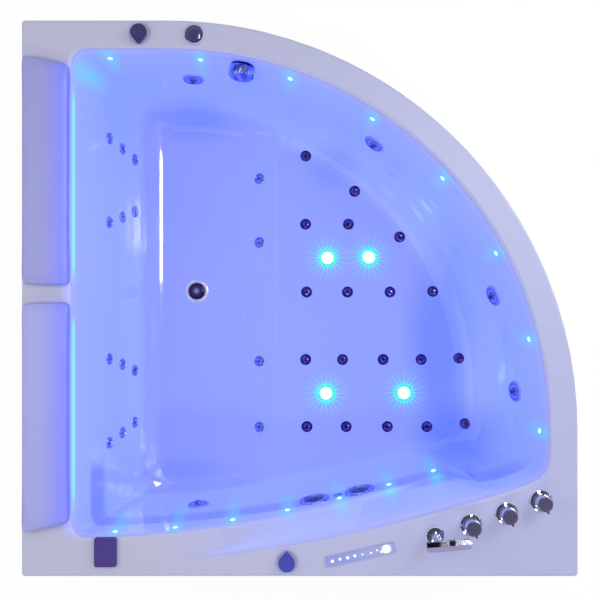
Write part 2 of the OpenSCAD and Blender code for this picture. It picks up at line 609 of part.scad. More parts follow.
// Waste and overflow
plug_stem_r = 4;
plug_clear = 0.2;
waste_tail = 42;
module drain_flange() color("silver") at(drain_spot) {
    rotate_extrude() polygon([[19, -waste_tail], [drain_body_r, -waste_tail], [drain_body_r, gap - seat],
        [drain_r, gap - seat], [drain_r, 1], [drain_r - 3, 3], [plug_r + 2, 3], [plug_r + 1, 1],
            [19, 1]]);
    difference() {
        union() {
            translate([-20, -1.5, -26]) cube([40, 3, 6]);
            translate([-1.5, -20, -26]) cube([3, 40, 6]);
            translate([0, 0, -30]) cylinder(r = plug_stem_r + 4, h = 14);
        }
        translate([0, 0, -31]) cylinder(r = plug_stem_r + 0.3, h = 16);
    }
}
module drain_plug() color("silver") at(drain_spot) {
    translate([0, 0, -plug_lift - 19]) cylinder(r = plug_stem_r, h = plug_lift + 23);
    rotate_extrude() polygon([[0, -4], [15, -4], [17, 1 + plug_clear], [plug_r, 1 + plug_clear],
        [plug_r, 3],
        [plug_r - 2, 5], [plug_r - 9, 6.5], [0, 7.2]]);
}
spindle_r = 6;
knob_low = 8;
module overflow_body() color("silver") at(overflow_spot) difference() {
    rotate_extrude() polygon([[spindle_r + 0.3, -2], [16, -2], [16, -40], [overflow_body_r, -40],
        [overflow_body_r, gap - seat], [overflow_r - 2, gap - seat], [overflow_r - 2, 2],
        [overflow_r - 5, 4], [spindle_r + 0.3, 4]]);
    for (a = [0:60:300]) rotate(a) translate([11.5, 0, -3]) cylinder(r = 3, h = 8);
}
module overflow_knob() color("silver") at(overflow_spot) difference() {
    rotate_extrude() polygon([[0, -8], [spindle_r, -8], [spindle_r, overflow_out - 6],
        [overflow_r - 4, overflow_out - 6], [overflow_r - 4, knob_low], [overflow_r, knob_low],
        [overflow_r, overflow_out - 4], [overflow_r - 4, overflow_out], [0, overflow_out]]);
    for (a = [0:30:330]) rotate(a) translate([overflow_r + 2, 0, knob_low - 1]) cylinder(r = 4, h = 40);
    rotate(15) translate([-2, overflow_r - 14, overflow_out - 1]) cube([4, 8, 3]);
}

// Controls in the rim
deck_stem = 40;
boss_r = 12;
module regulator_bodies() color("lavender") for (p = regulator_spots) at(p) {
    soft_disc(deck_ring_r, gap - seat, 2.2, 1);
    translate([0, 0, -deck_stem]) cylinder(r = deck_body_r, h = deck_stem);
    cylinder(r = boss_r, h = 4);
    cylinder(r = spindle_r, h = 12);
    translate([0, 0, -deck_stem - 15]) cylinder(r = tail_r, h = 20);
}
module regulator_knob(n) color("midnightblue") at(regulator_spots[n]) rotate(regulator_turns[n])
    difference() {
    union() {
        translate([0, 0, 4.2]) cylinder(r = 22, h = 14);
        translate([0, 0, 18]) cylinder(r = 19, h = 3);
        translate([0, 0, 4.2]) linear_extrude(12) polygon([[12, -18.4], [31, -3], [31, 3], [12, 18.4]]);
    }
    translate([0, 0, 4]) cylinder(r = spindle_r + 0.2, h = 8.3);
}
module upper_regulator_knob() regulator_knob(0);
module lower_regulator_knob() regulator_knob(1);
button_r = 20;
button_travel = 4;
module pump_button_bezel() color("lavender") at(button_spot) rotate_extrude() polygon([[5.3, -deck_stem],
    [deck_body_r, -deck_stem], [deck_body_r, gap - seat], [deck_ring_r - 4, gap - seat],
        [deck_ring_r - 4, 6],
    [deck_ring_r - 6, 8], [button_r + 0.2, 8], [button_r + 0.2, 1], [5.3, 1]]);
module pump_button() color("slateblue") at(button_spot) {
    translate([0, 0, 1.2 + button_travel]) cylinder(r = button_r, h = 6.1);
    dome(button_r, 4, 7.2 + button_travel);
    translate([0, 0, -20]) cylinder(r = 5, h = 26);
}
module deck_nuts() color("white") {
    for (p = concat(regulator_spots, [button_spot])) at(p) lock_nut(deck_body_r + 6, deck_body_r, 8);
}
module slab(l, w, r, low, high) translate([0, 0, low]) linear_extrude(high - low) {
    square([l - 2 * r, w], center = true);
    square([l, w - 2 * r], center = true);
    for (x = [-1, 1]) for (y = [-1, 1]) translate([x * (l / 2 - r), y * (w / 2 - r)]) circle(r);
}
panel_t = 3.5;
glass_t = 2;
module panel_frame() color("silver") at(panel_spot) rotate(panel_turn) difference() {
    union() {
        slab(panel_l, panel_w, 8, gap, panel_t);
        slab(panel_l - 11, panel_w - 9, 4, -22, gap + 1);
    }
    slab(panel_l - 6, panel_w - 6, 6, panel_t - glass_t, panel_t + 1);
    slab(panel_l - 15, panel_w - 13, 3, -20, panel_t);
}
module panel_glass() color("indigo") at(panel_spot) rotate(panel_turn)
    slab(panel_l - 6.4, panel_w - 6.4, 5.8, panel_t - glass_t + 0.2, panel_t + 0.2);

// Taps, hand shower and waterfall spout
flange_top = 5;
module tap_flanges() color("silver") for (p = tap_spots) at(p) rotate_extrude() polygon([
    [tap_body_r + 0.6, gap - seat], [tap_flange_r, gap - seat], [tap_flange_r, 2], [tap_flange_r - 2, 4],
    [tap_flange_r - 6, flange_top], [tap_body_r + 0.6, flange_top]]);
tap_stem_r = 10;
tap_stem = 22;
module tap_knob(n) color("silver") at(tap_spots[n]) {
    rotate_extrude() polygon([[tap_stem_r + 0.3, flange_top + 0.2], [tap_knob_r - 1.5, flange_top + 0.2],
        [tap_knob_r, flange_top + 2], [tap_knob_r, tap_h - 3], [tap_knob_r - 1, tap_h - 1],
        [tap_knob_r - 3, tap_h], [0, tap_h], [0, tap_stem + 1], [tap_stem_r + 0.3, tap_stem + 1]]);
    rotate(-70) translate([tap_knob_r - 3, -3, tap_h - 14]) cube([9, 6, 9]);
}
module diverter_knob() tap_knob(0);
module hot_knob() tap_knob(1);
module cold_knob() tap_knob(2);
handle_r = 12;
holder_deep = 62;
module shower_holder() color("silver") at(shower_spot) rotate_extrude() polygon([[handle_r + 0.25,
    -holder_deep],
    [shower_body_r, -holder_deep], [shower_body_r, gap - seat], [tap_flange_r - 5, gap - seat],
    [tap_flange_r - 5, 3], [tap_flange_r - 8, 6], [handle_r + 0.25, 8]]);
head_left = 36;
head_t = 17;
head_turn = 5;
head_slope = 24;
module hand_shower() color("silver") at(shower_spot) rotate(head_turn) {
    rotate_extrude() polygon([[0, 10 - holder_deep], [handle_r - 4, 10 - holder_deep],
        [handle_r, 20 - holder_deep],
        [handle_r, 30], [handle_r - 2, 50], [handle_r - 2, 80], [handle_r - 0.5, shower_h - head_t + 2],
        [0, shower_h - head_t + 2]]);
    difference() {
        translate([0, 0, shower_h - head_t]) linear_extrude(head_t) {
            translate([-head_left, -shower_w / 2]) square([shower_l - shower_w / 2, shower_w]);
            translate([shower_l - head_left - shower_w / 2, 0]) circle(shower_w / 2);
        }
        for (x = [24:9:68]) for (y = [-6, 0, 6]) translate([x, y,
            shower_h - head_t - 1]) cylinder(r = 1.5, h = 5);
        translate([-head_left - 1, -shower_w, shower_h - 3]) rotate([0, -12, 0]) cube([20, 2 * shower_w,
            8]);
        translate([-head_left - 1, 1, shower_h]) rotate([-head_slope, 0, 0]) cube([shower_l + 2, shower_w,
            head_t]);
    }
}
spout_t = 12;
module spout_plate() color("indigo") at(spout_spot) difference() {
    union() {
        slab(spout_w, spout_l, 6, gap, spout_t);
        translate([0, 0, -30]) cylinder(r = spout_body_r, h = 31);
    }
    translate([0, 0, -31]) cylinder(r = spout_body_r - 3, h = 37);
    translate([-spout_w / 2 + 5, -8, 3]) cube([spout_w - 10, spout_l, 5]);
}
valve_r = 20;
valve_low = rim_h - 80;
valve_z = rim_h - 60;
inlet_r = 10.5;
inlet_l = valve_r + 42;
inlet_low = rim_h - 120;
spout_pipe_r = 9;
spout_pipe_z = rim_h - 88;
spout_pipe_y = spout_spot[0][1];
module mixer_valve() color("goldenrod") difference() {
    union() {
        for (p = tap_spots) translate([p[0][0], p[0][1], 0]) {
            translate([0, 0, valve_low]) cylinder(r = valve_r,
                h = rim_h - back_seat - nut_gap - valve_low);
            translate([0, 0, rim_h - 20]) cylinder(r = tap_body_r, h = 22);
            translate([0, 0, rim_h]) cylinder(r = tap_stem_r, h = tap_stem);
        }
        for (i = [0, 1]) bar([tap_spots[i][0][0], tap_spots[i][0][1], valve_z],
            [tap_spots[i + 1][0][0], tap_spots[i + 1][0][1], valve_z], 13);
        for (i = [1, 2]) translate([tap_spots[i][0][0], tap_spots[i][0][1], valve_z]) rotate([90, 0, 0]) {
            cylinder(r = inlet_r, h = inlet_l);
            cylinder(r = inlet_r + 3, h = valve_r + 2);
        }
        translate([tap_spots[0][0][0], tap_spots[0][0][1], inlet_low + 15])
            cylinder(r = inlet_r, h = valve_low - inlet_low);
    }
    for (i = [1, 2]) translate([tap_spots[i][0][0], tap_spots[i][0][1] - inlet_l + 30, valve_z])
        rotate([90, 0, 0]) cylinder(r = inlet_r - 3, h = 31);
}
// A run of round pipe through a list of points, with round elbows
module pipe(points, r, elbow) {
    for (i = [1:len(points) - 1]) bar(points[i - 1], points[i], r);
    for (i = [1:1:len(points) - 2]) translate(points[i]) sphere(elbow);
}
socket_wall = 4;
spout_turn = [tap_spots[0][0][0], tap_spots[0][0][1], inlet_low];
module spout_pipe() color("gray") difference() {
    union() {
        pipe([[spout_turn[0], spout_turn[1], inlet_low + 12],
            [spout_turn[0], spout_turn[1], inlet_low - 8],
            [spout_turn[0] - 70, spout_pipe_y, inlet_low - 8],
                [spout_turn[0] - 70, spout_pipe_y, spout_pipe_z],
            [spout_spot[0][0], spout_pipe_y, spout_pipe_z], [spout_spot[0][0], spout_pipe_y, rim_h - 40]],
            spout_pipe_r, spout_pipe_r + 2);
        translate([spout_turn[0], spout_turn[1], inlet_low - 4]) cylinder(r = inlet_r + socket_wall,
            h = 30);
        translate([spout_spot[0][0], spout_pipe_y, rim_h - 44]) cylinder(r = spout_body_r + socket_wall,
            h = 22);
    }
    translate([spout_turn[0], spout_turn[1], inlet_low + 14.8]) cylinder(r = inlet_r + 0.2, h = 40);
    translate([spout_spot[0][0], spout_pipe_y, rim_h - 30.2]) cylinder(r = spout_body_r + 0.2, h = 20);
}

// Head pillows
pillow_n = 44;
pillow_rings = [[0.88, 0], [0.96, 0.1], [1, 0.32], [0.985, 0.58], [0.93, 0.78], [0.82, 0.91],
    [0.62, 0.98],
    [0.32, 1]];
pillow_left = 6 - half;
function round_side(c) = sign(c) * pow(abs(c), 0.4);
function pillow_point(a, k, top) = let(u = round_side(cos(a)) * k[0], v = round_side(sin(a)) * k[0],
    t = (u + 1) / 2, near = top ? pillow_gap - 3 : pillow_gap - 41, long = pillow_l - pillow_skew * t)
    [pillow_left + pillow_w * t, (top ? 1 : -1) * (near + (top ? 0 : 14) + (v + 1) / 2 * long + 5 * (1 - t)),
    rim_h + 0.3 + pillow_h * k[1]];
module pillow_shape(top) {
    rings = len(pillow_rings);
    points = concat([for (k = pillow_rings) for (i = [0:pillow_n - 1]) pillow_point(360 * i / pillow_n, k,
        top)],
        [pillow_point(0, [0, 0], top), pillow_point(0, [0, 1], top)]);
    turn = top ? [0, 1] : [1, 0];
    faces = concat(
        [for (r = [0:rings - 2]) for (i = [0:pillow_n - 1]) let(a = r * pillow_n + (i + turn[0]) % pillow_n,
            b = r * pillow_n + (i + turn[1]) % pillow_n) each [[a, b, b + pillow_n],
                [a, b + pillow_n, a + pillow_n]]],
        [for (i = [0:pillow_n - 1]) let(a = (i + turn[0]) % pillow_n, b = (i + turn[1]) % pillow_n)
            each [[rings * pillow_n, b, a], [rings * pillow_n + 1, (rings - 1) * pillow_n + a,
            (rings - 1) * pillow_n + b]]]);
    polyhedron(points, [for (f = faces) [f[2], f[1], f[0]]]);
}
module upper_pillow() color("lavender") pillow_shape(true);
module lower_pillow() color("lavender") pillow_shape(false);
// Base frame of square tube, with its posts on the corners and along the curved front
post_r = front_r - post_in;
post_spots = [[-half + post_in, -half + post_in, 0], [-half + post_in, -150, 0],
    [-half + post_in, half - post_in, 0],
    [front_c, front_c + post_r, 0], [front_c + post_r * cos(60), front_c + post_r * sin(60), 60],
    [front_c + post_r * cos(30), front_c + post_r * sin(30), 30], [front_c + post_r, front_c, 0],
    [half - post_in, -half + post_in, 0], [770 - half, -half + post_in, 0]];
fit = 0.3;
post_top = rim_h - shell_t - fit;
module frame_posts() color("gray") for (p = post_spots) translate([p[0], p[1],
    0]) rotate(p[2]) difference() {
    translate([-tube_w / 2, -tube_w / 2, frame_h]) cube([tube_w, tube_w, post_top - frame_h]);
    translate([tube_t - tube_w / 2, tube_t - tube_w / 2, frame_h + 5])
        cube([tube_w - 2 * tube_t, tube_w - 2 * tube_t, post_top]);
    translate([0, 0, frame_h - 1]) cylinder(r = stud_r + fit, h = 10);
}
// A square tube lying along X, hollow and open at both ends
module lying_tube(l) difference() {
    translate([0, -tube_w / 2, frame_h]) cube([l, tube_w, tube_w]);
    translate([-1, tube_t - tube_w / 2, frame_h + tube_t]) cube([l + 2, tube_w - 2 * tube_t,
        tube_w - 2 * tube_t]);
}
module base_rails() color("gray") for (i = [0:len(post_spots) - 1]) {
    a = post_spots[i];
    b = post_spots[(i + 1) % len(post_spots)];
    run = [b[0] - a[0], b[1] - a[1]];
    cut = tube_w / 2 * (a[2] == 0 && b[2] == 0 ? 1 : cos(15) + sin(15)) + fit;
    translate([a[0], a[1], 0]) rotate(atan2(run[1], run[0])) translate([cut, 0,
        0]) lying_tube(norm(run) - 2 * cut);
}
bearer_y = [210 - half, 460 - half, drain_y - 103, drain_y + 97, drain_y + 307];
bearer_left = -half + post_in + tube_w / 2 + fit;
chord = post_r * cos(15) - tube_w / 2 - fit;
function bearer_end(y) = min(-bearer_left, (chord - (y - front_c) * sin(15)) / cos(15) + front_c,
    (chord - (y - front_c) * sin(45)) / cos(45) + front_c);
module floor_bearers() color("gray") for (y = bearer_y) translate([bearer_left, y, 0])
    lying_tube(bearer_end(y + tube_w / 2) - bearer_left);
pad_r = 14;
seat_pads = [[390, 1], [520, 1], [390, 2], [520, 2], [370, 3], [520, 3], [390, 4]];
foot_pads = [[950, 1], [1130, 1], [810, 2], [960, 2], [1090, 2], [760, 3], [899, 3], [810, 4]];
module bearer_pads() color("black") {
    for (p = seat_pads) translate([p[0] - half, bearer_y[p[1]], frame_h + tube_w + 0.2])
        cylinder(r = pad_r, h = rim_h - seat_depth - shell_t - frame_h - tube_w - 0.4);
    for (p = foot_pads) translate([p[0] - half, bearer_y[p[1]], frame_h + tube_w + 0.2])
        cylinder(r = pad_r, h = rim_h - foot_depth - shell_t - frame_h - tube_w - 0.4);
}
stud_r = 6;
foot_r = 25;
module levelling_feet() color("black") for (p = post_spots) translate([p[0], p[1], 0]) {
    soft_disc(foot_r, 0, 10, 3);
    translate([0, 0, 9]) cylinder(r = 11, h = 9, $fn = 6);
    translate([0, 0, 9]) cylinder(r = stud_r, h = frame_h + 15);
}

// Front apron and the stubs that hold it
apron_r = front_r - apron_in;
apron_top = rim_h - shell_t - fit;
module front_apron() color("white") {
    translate([front_c, front_c, 0]) rotate_extrude(angle = 90, $fn = 360)
        translate([apron_r - apron_t, apron_h]) square([apron_t, apron_top - apron_h]);
    translate([half - apron_in - apron_t, apron_in - half, apron_h])
        cube([apron_t, front_c + half - apron_in, apron_top - apron_h]);
    translate([apron_in - half, half - apron_in - apron_t, apron_h])
        cube([front_c + half - apron_in, apron_t, apron_top - apron_h]);
}
stub_r = 8;
stub_l = post_in - apron_in - apron_t - tube_w / 2 - 2 * fit;
stub_turns = [[7, 0], [2, 90], [3, 90], [4, 60], [5, 30], [6, 0]];
module apron_brackets() color("gray") for (s = stub_turns) for (z = [frame_h + 60, rim_h - 100])
    translate([post_spots[s[0]][0], post_spots[s[0]][1], z]) rotate(s[1]) translate([tube_w / 2 + fit, 0,
        0])
    rotate([0, 90, 0]) cylinder(r = stub_r, h = stub_l);

// Shelves, water pump and its pipes
shelf_z = frame_h + tube_w + 0.2;
shelf_t = 3;
module equipment_shelves() color("gray") {
    translate([pump_x - 65, post_in - half - tube_w / 2, shelf_z]) cube([320, 205, shelf_t]);
    translate([post_in - half - tube_w / 2, blower_y - 100, shelf_z]) difference() {
        cube([228, 228, shelf_t]);
        translate([-1, 228 - tube_w - fit, -1]) cube([tube_w + fit + 1, tube_w + fit + 1, shelf_t + 2]);
    }
}
pump_y = 114 - half;
pump_x = 1135 - half;
volute_r = 75;
motor_r = 60;
water_r = 20;
supply_r = 25;
machine_z = shelf_z + shelf_t + 0.2;
pump_z = machine_z + volute_r + 9.6;
module water_pump() color("dimgray") difference() {
    union() {
        translate([pump_x - 35, pump_y, pump_z]) rotate([0, 90, 0]) cylinder(r = volute_r, h = 70);
        translate([pump_x, pump_y, pump_z]) cylinder(r = water_r, h = 100);
        translate([pump_x, pump_y, pump_z + 60]) cylinder(r = water_r + 5, h = 22);
        translate([pump_x - 65, pump_y, pump_z]) rotate([0, 90, 0]) cylinder(r = supply_r, h = 35);
        translate([pump_x - 30, pump_y - 40, machine_z]) cube([60, 80, 30]);
    }
    translate([pump_x - 66, pump_y, pump_z]) rotate([0, 90, 0]) cylinder(r = supply_r - 4, h = 50);
    translate([pump_x, pump_y, pump_z + 40]) cylinder(r = water_r - 3, h = 61);
}
module pump_motor() color("black") {
    translate([pump_x + 35.2, pump_y, pump_z]) rotate([0, 90, 0]) cylinder(r = motor_r, h = 170);
    translate([pump_x + 205, pump_y, pump_z]) rotate([0, 90, 0]) cylinder(r = motor_r - 6, h = 22);
    for (i = [0:7]) translate([pump_x + 55 + i * 16, pump_y, pump_z]) rotate([0, 90, 0])
        cylinder(r = motor_r + 3, h = 5);
    translate([pump_x + 60, pump_y - 45, machine_z]) cube([120, 90, 40]);
    translate([pump_x + 80, pump_y - 30, pump_z + motor_r - 8]) cube([80, 60, 30]);
}
supply_z = suction_spots[0][0][2] - 6;
supply_drop_x = pump_x - 99;
module suction_pipe() color("whitesmoke") difference() {
    union() {
        pipe([[suction_spots[0][0][0] - 10, pump_y - 6, supply_z], [supply_drop_x, pump_y - 6, supply_z],
            [supply_drop_x, pump_y - 6, supply_z - 60], [supply_drop_x, pump_y, pump_z],
            [pump_x - 60, pump_y, pump_z]], supply_r, supply_r + 2);
        translate([pump_x - 75, pump_y, pump_z]) rotate([0, 90, 0]) cylinder(r = supply_r + 4, h = 30);
        for (p = suction_spots) bar(behind(p, suction_tail - 14), behind(p, suction_tail + 4),
            24 + socket_wall);
        for (p = suction_spots) bar(behind(p, suction_tail + 2),
            [behind(p, suction_tail + 10)[0], pump_y - 6, supply_z], 22);
    }
    translate([pump_x - 65.2, pump_y, pump_z]) rotate([0, 90, 0]) cylinder(r = supply_r + 0.2, h = 40);
    for (p = suction_spots) bar(behind(p, suction_tail - 20), behind(p, suction_tail + 0.2), 24.2);
}
ring_r = front_r - 82;
ring_z = rim_h - 296;
back_pipe_x = 150 - half;
riser_pipe_r = 12;
riser_pipe_z = min(riser_spots[0][0][2] - 60.5, rim_h - seat_depth - 33);
riser_pipe_x = riser_spots[0][0][0] + 15;
riser_pipe_y = 296 - half;
feed_r = 8;
feed_socket = 10;
// A hose with a socket at one end, an elbow, and its far end against the side of a pipe
module hose(socket_from, elbow, target, reach) {
    bar(socket_from, elbow + unit(elbow - socket_from) * feed_r, feed_socket);
    bar(elbow, target + unit(elbow - target) * (reach + fit), feed_r);
}
module feed(spot, target, reach) difference() {
    hose(behind(spot, 25), behind(spot, 40), target, reach);
    bar(behind(spot, 20), behind(spot, tail + 0.2), tail_r + 0.2);
}
function nipple_end(spot, l) = let(n = spot[1], h = norm([n[0], n[1]]))
    behind(spot, -nipple_z) + [n[2] * n[0] / h, n[2] * n[1] / h, -h] * l;
module jet_feed(spot, target, reach) difference() {
    hose(nipple_end(spot, nipple_l - 12), nipple_end(spot, nipple_l + 4), target, reach);
    bar(nipple_end(spot, nipple_l - 14), nipple_end(spot, nipple_l + 0.2), tail_r + 0.2);
}
module jet_hoses() color("lightgray") {
    for (p = back_spots) feed(p, [back_pipe_x, p[0][1], ring_z], water_r);
    for (p = riser_spots) feed(p, [riser_pipe_x, p[0][1], riser_pipe_z], riser_pipe_r);
    for (i = [0:3]) let(s = jet_spots[i], e = nipple_end(s, nipple_l + 4))
        jet_feed(s, concat(turned(ring_r, turn_of(e)) + [front_c, front_c], [ring_z]), water_r);
    jet_feed(jet_spots[4], [nipple_end(jet_spots[4], nipple_l + 4)[0], branch_y, branch_z], riser_pipe_r);
    feed(cove_air_spots[0], [header_x, behind(cove_air_spots[0], 40)[1], air_z], header_r);
    for (i = [0:4]) feed(cove_air_spots[i + 1], [row_ends[cove_rows[i]], air_rows[cove_rows[i]][0],
        air_z], rail_r + 2);
}
branch_y = 66 - half;
branch_z = ring_z - 19;
module pressure_pipe() color("whitesmoke") difference() {
    union() {
        pipe([[pump_x, pump_y, pump_z + 83], [pump_x, pump_y, ring_z], [front_c + ring_r, pump_y, ring_z],
            [front_c + ring_r, front_c, ring_z]], water_r, water_r + 2);
        translate([pump_x, pump_y, pump_z + 82.2]) cylinder(r = water_r + 5, h = 32);
        translate([front_c, front_c, ring_z]) rotate_extrude(angle = 90, $fn = 360)
            translate([ring_r, 0]) circle(water_r, $fn = 72);
        pipe([[front_c, front_c + ring_r, ring_z], [back_pipe_x, front_c + ring_r, ring_z],
            [back_pipe_x, riser_pipe_y, ring_z]], water_r, water_r + 2);
        translate([back_pipe_x, riser_pipe_y, ring_z]) sphere(water_r + 2);
        pipe([[back_pipe_x, riser_pipe_y, ring_z], [back_pipe_x, riser_pipe_y, riser_pipe_z],
            [riser_pipe_x, riser_pipe_y, riser_pipe_z],
                [riser_pipe_x, riser_spots[0][0][1] + 12, riser_pipe_z]],
            riser_pipe_r, riser_pipe_r + 2);
    }
    translate([pump_x, pump_y, pump_z + 60]) cylinder(r = water_r + 0.2, h = 40.2);
}
module ledge_jet_pipe() color("whitesmoke") difference() {
    union() {
        pipe([[pump_x, pump_y, branch_z], [pump_x, branch_y, branch_z],
            [jet_spots[4][0][0] - 4, branch_y, branch_z]], riser_pipe_r, riser_pipe_r + 1);
    }
    translate([pump_x, pump_y, branch_z - 40]) cylinder(r = water_r + 5 + fit, h = 80);
}

// Air blower and its pipes
blower_x = 150 - half;
blower_y = half - 150;
blower_r = 75;
air_z = rim_h - foot_depth - 45;
outlet_pipe_z = machine_z + 61.6;
header_x = 720 - half;
header_r = 20;
rail_r = 11;
module air_blower() color("dimgray") difference() {
    union() {
        translate([blower_x, blower_y, machine_z]) cylinder(r = blower_r, h = 90);
        translate([blower_x, blower_y, machine_z + 89]) cylinder(r = blower_r - 12, h = 40);
        translate([blower_x, blower_y, outlet_pipe_z]) rotate([0, 90, 0]) cylinder(r = supply_r,
            h = blower_r + 30);
    }
    translate([blower_x, blower_y, outlet_pipe_z]) rotate([0, 90, 0]) cylinder(r = supply_r - 3,
        h = blower_r + 31);
    for (a = [0:30:330]) translate([blower_x + 45 * cos(a), blower_y + 45 * sin(a), machine_z + 120])
        cylinder(r = 5, h = 20);
}
row_ends = [for (x = [925, 1050, 1146, 1164]) x - half];
cove_rows = [0, 0, 1, 2, 3];
module air_pipes() color("whitesmoke") difference() {
    union() {
        pipe([[blower_x + blower_r + 20, blower_y, outlet_pipe_z],
            [header_x - 60, blower_y, outlet_pipe_z],
            [header_x, blower_y, air_z], [header_x, air_rows[3][0], air_z]], header_r, header_r + 1);
        translate([blower_x + blower_r + 8, blower_y, outlet_pipe_z]) rotate([0, 90, 0])
            cylinder(r = supply_r + 4, h = 34);
        for (i = [0:3]) bar([header_x, air_rows[i][0], air_z], [row_ends[i], air_rows[i][0], air_z],
            rail_r);
        for (i = [0:3]) translate([row_ends[i], air_rows[i][0], air_z]) sphere(rail_r + 2);
        for (p = flat_air_spots) translate([p[0][0], p[0][1], air_z]) cylinder(r = feed_socket, h = 20);
    }
    translate([blower_x + blower_r, blower_y, outlet_pipe_z]) rotate([0, 90, 0])
        cylinder(r = supply_r + 0.2, h = 30.2);
    for (p = flat_air_spots) translate([p[0][0], p[0][1],
        p[0][2] - tail - 0.2]) cylinder(r = tail_r + 0.2, h = 30);
}

// Trap under the waste, and the overflow pipe
trap_r = 45;
overflow_pipe_r = 16;
overflow_low = frame_h + tube_w + overflow_pipe_r + 6;
trap_low = overflow_low - 46;
trap_top = overflow_low + overflow_pipe_r;
trap_neck = rim_h - seat_depth - trap_top;
outlet_z = frame_h + tube_w + supply_r + 3;
outlet_end = 60 - half;
module drain_trap() color("whitesmoke") difference() {
    union() {
        translate([drain_spot[0][0], drain_y, trap_low]) cylinder(r = trap_r, h = trap_top - trap_low);
        translate([drain_spot[0][0], drain_y, trap_top - 1]) cylinder(r = drain_body_r + 4,
            h = max(2, trap_neck - 22));
        bar([drain_spot[0][0], drain_y, outlet_z], [outlet_end + 1, drain_y, outlet_z], supply_r - 1);
        bar([outlet_end + 50, drain_y, outlet_z], [outlet_end, drain_y, outlet_z], supply_r);
    }
    translate([drain_spot[0][0], drain_y, trap_low + 5]) cylinder(r = trap_r - 5,
        h = trap_top - trap_low - 10);
    translate([drain_spot[0][0], drain_y, rim_h - seat_depth - waste_tail - 0.2])
        cylinder(r = drain_body_r + 0.2, h = 40);
    translate([drain_spot[0][0], drain_y, trap_top - 10]) cylinder(r = 18,
        h = max(12, trap_neck - waste_tail + 18));
    bar([drain_spot[0][0] - 20, drain_y, outlet_z], [outlet_end - 1, drain_y, outlet_z], supply_r - 4);
}
overflow_turn_low = [behind(overflow_spot, 46)[0], behind(overflow_spot, 46)[1], overflow_low];
to_trap = unit([drain_spot[0][0], drain_y, overflow_low] - overflow_turn_low);
trap_side = [drain_spot[0][0], drain_y, overflow_low] - to_trap * (trap_r + 0.3);
module overflow_pipe() color("whitesmoke") difference() {
    union() {
        bar(behind(overflow_spot, 24), behind(overflow_spot, 46), overflow_body_r + socket_wall);
        translate(behind(overflow_spot, 46)) sphere(overflow_body_r + socket_wall + 1);
        pipe([behind(overflow_spot, 46), overflow_turn_low, trap_side], overflow_pipe_r,
            overflow_pipe_r + 2);
    }
    bar(behind(overflow_spot, 20), behind(overflow_spot, 40.2), overflow_body_r + 0.2);
}
box_y = 600 - half;
box_z = rim_h - 350;
module control_box() color("lightgray") {
    translate([post_in - half + tube_w / 2 + 0.2, box_y - 110, box_z]) cube([62, 220, 180]);
    translate([post_in - half + tube_w / 2 + 62, box_y - 100, box_z + 8]) cube([7, 200, 164]);
    for (y = [-60, 0, 60]) translate([post_in - half + tube_w / 2 + 32, box_y + y,
        box_z - 14]) cylinder(r = 9, h = 20);
}

tub_shell();
air_jets();
small_jets();
small_lock_nuts();
side_jet_bodies();
front_jet_nozzle_1();
front_jet_nozzle_2();
front_jet_nozzle_3();
front_jet_nozzle_4();
ledge_jet_nozzle();
large_lock_nuts();
suction_bodies();
suction_covers();
suction_nuts();
level_sensor();
rim_lights();
floor_light_bodies();
floor_light_lenses();
drain_flange();
drain_plug();
overflow_body();
overflow_knob();
regulator_bodies();
upper_regulator_knob();
lower_regulator_knob();
pump_button_bezel();
pump_button();
deck_nuts();
panel_frame();
panel_glass();
tap_flanges();
hot_knob();
cold_knob();
diverter_knob();
shower_holder();
hand_shower();
spout_plate();
mixer_valve();
spout_pipe();
upper_pillow();
lower_pillow();
frame_posts();
base_rails();
floor_bearers();
bearer_pads();
levelling_feet();
front_apron();
apron_brackets();
equipment_shelves();
water_pump();
pump_motor();
suction_pipe();
pressure_pipe();
ledge_jet_pipe();
jet_hoses();
air_blower();
air_pipes();
drain_trap();
overflow_pipe();
control_box();
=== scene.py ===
import math

import bpy
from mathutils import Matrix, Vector


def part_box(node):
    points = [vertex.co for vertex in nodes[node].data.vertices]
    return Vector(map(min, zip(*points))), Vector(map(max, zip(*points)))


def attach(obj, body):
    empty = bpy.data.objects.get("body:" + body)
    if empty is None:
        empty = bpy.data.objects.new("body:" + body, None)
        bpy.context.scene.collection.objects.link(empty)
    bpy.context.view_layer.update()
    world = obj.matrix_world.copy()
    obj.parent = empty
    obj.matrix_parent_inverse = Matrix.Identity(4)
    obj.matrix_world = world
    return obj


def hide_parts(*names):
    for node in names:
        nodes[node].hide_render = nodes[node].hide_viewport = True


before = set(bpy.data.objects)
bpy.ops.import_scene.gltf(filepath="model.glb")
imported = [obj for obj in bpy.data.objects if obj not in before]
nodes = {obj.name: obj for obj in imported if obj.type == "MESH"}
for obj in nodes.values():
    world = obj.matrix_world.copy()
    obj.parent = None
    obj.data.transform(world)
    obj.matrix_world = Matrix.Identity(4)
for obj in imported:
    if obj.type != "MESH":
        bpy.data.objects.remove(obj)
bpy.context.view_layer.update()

# The view: a camera straight above the tub, 2.6 m over the rim, as the catalogue picture was taken.
# Its picture is square, with the backrest on the left and the armrest wall side at the bottom.
camera_data = bpy.data.cameras.new("view_camera")
camera_data.sensor_width = 36
camera_data.lens = 57.9
camera = bpy.data.objects.new("view_camera", camera_data)
bpy.context.collection.objects.link(camera)
camera.location = (0.0007, -0.0047, 3.2)
bpy.context.scene.camera = camera
bpy.context.scene.view_settings.view_transform = "Standard"


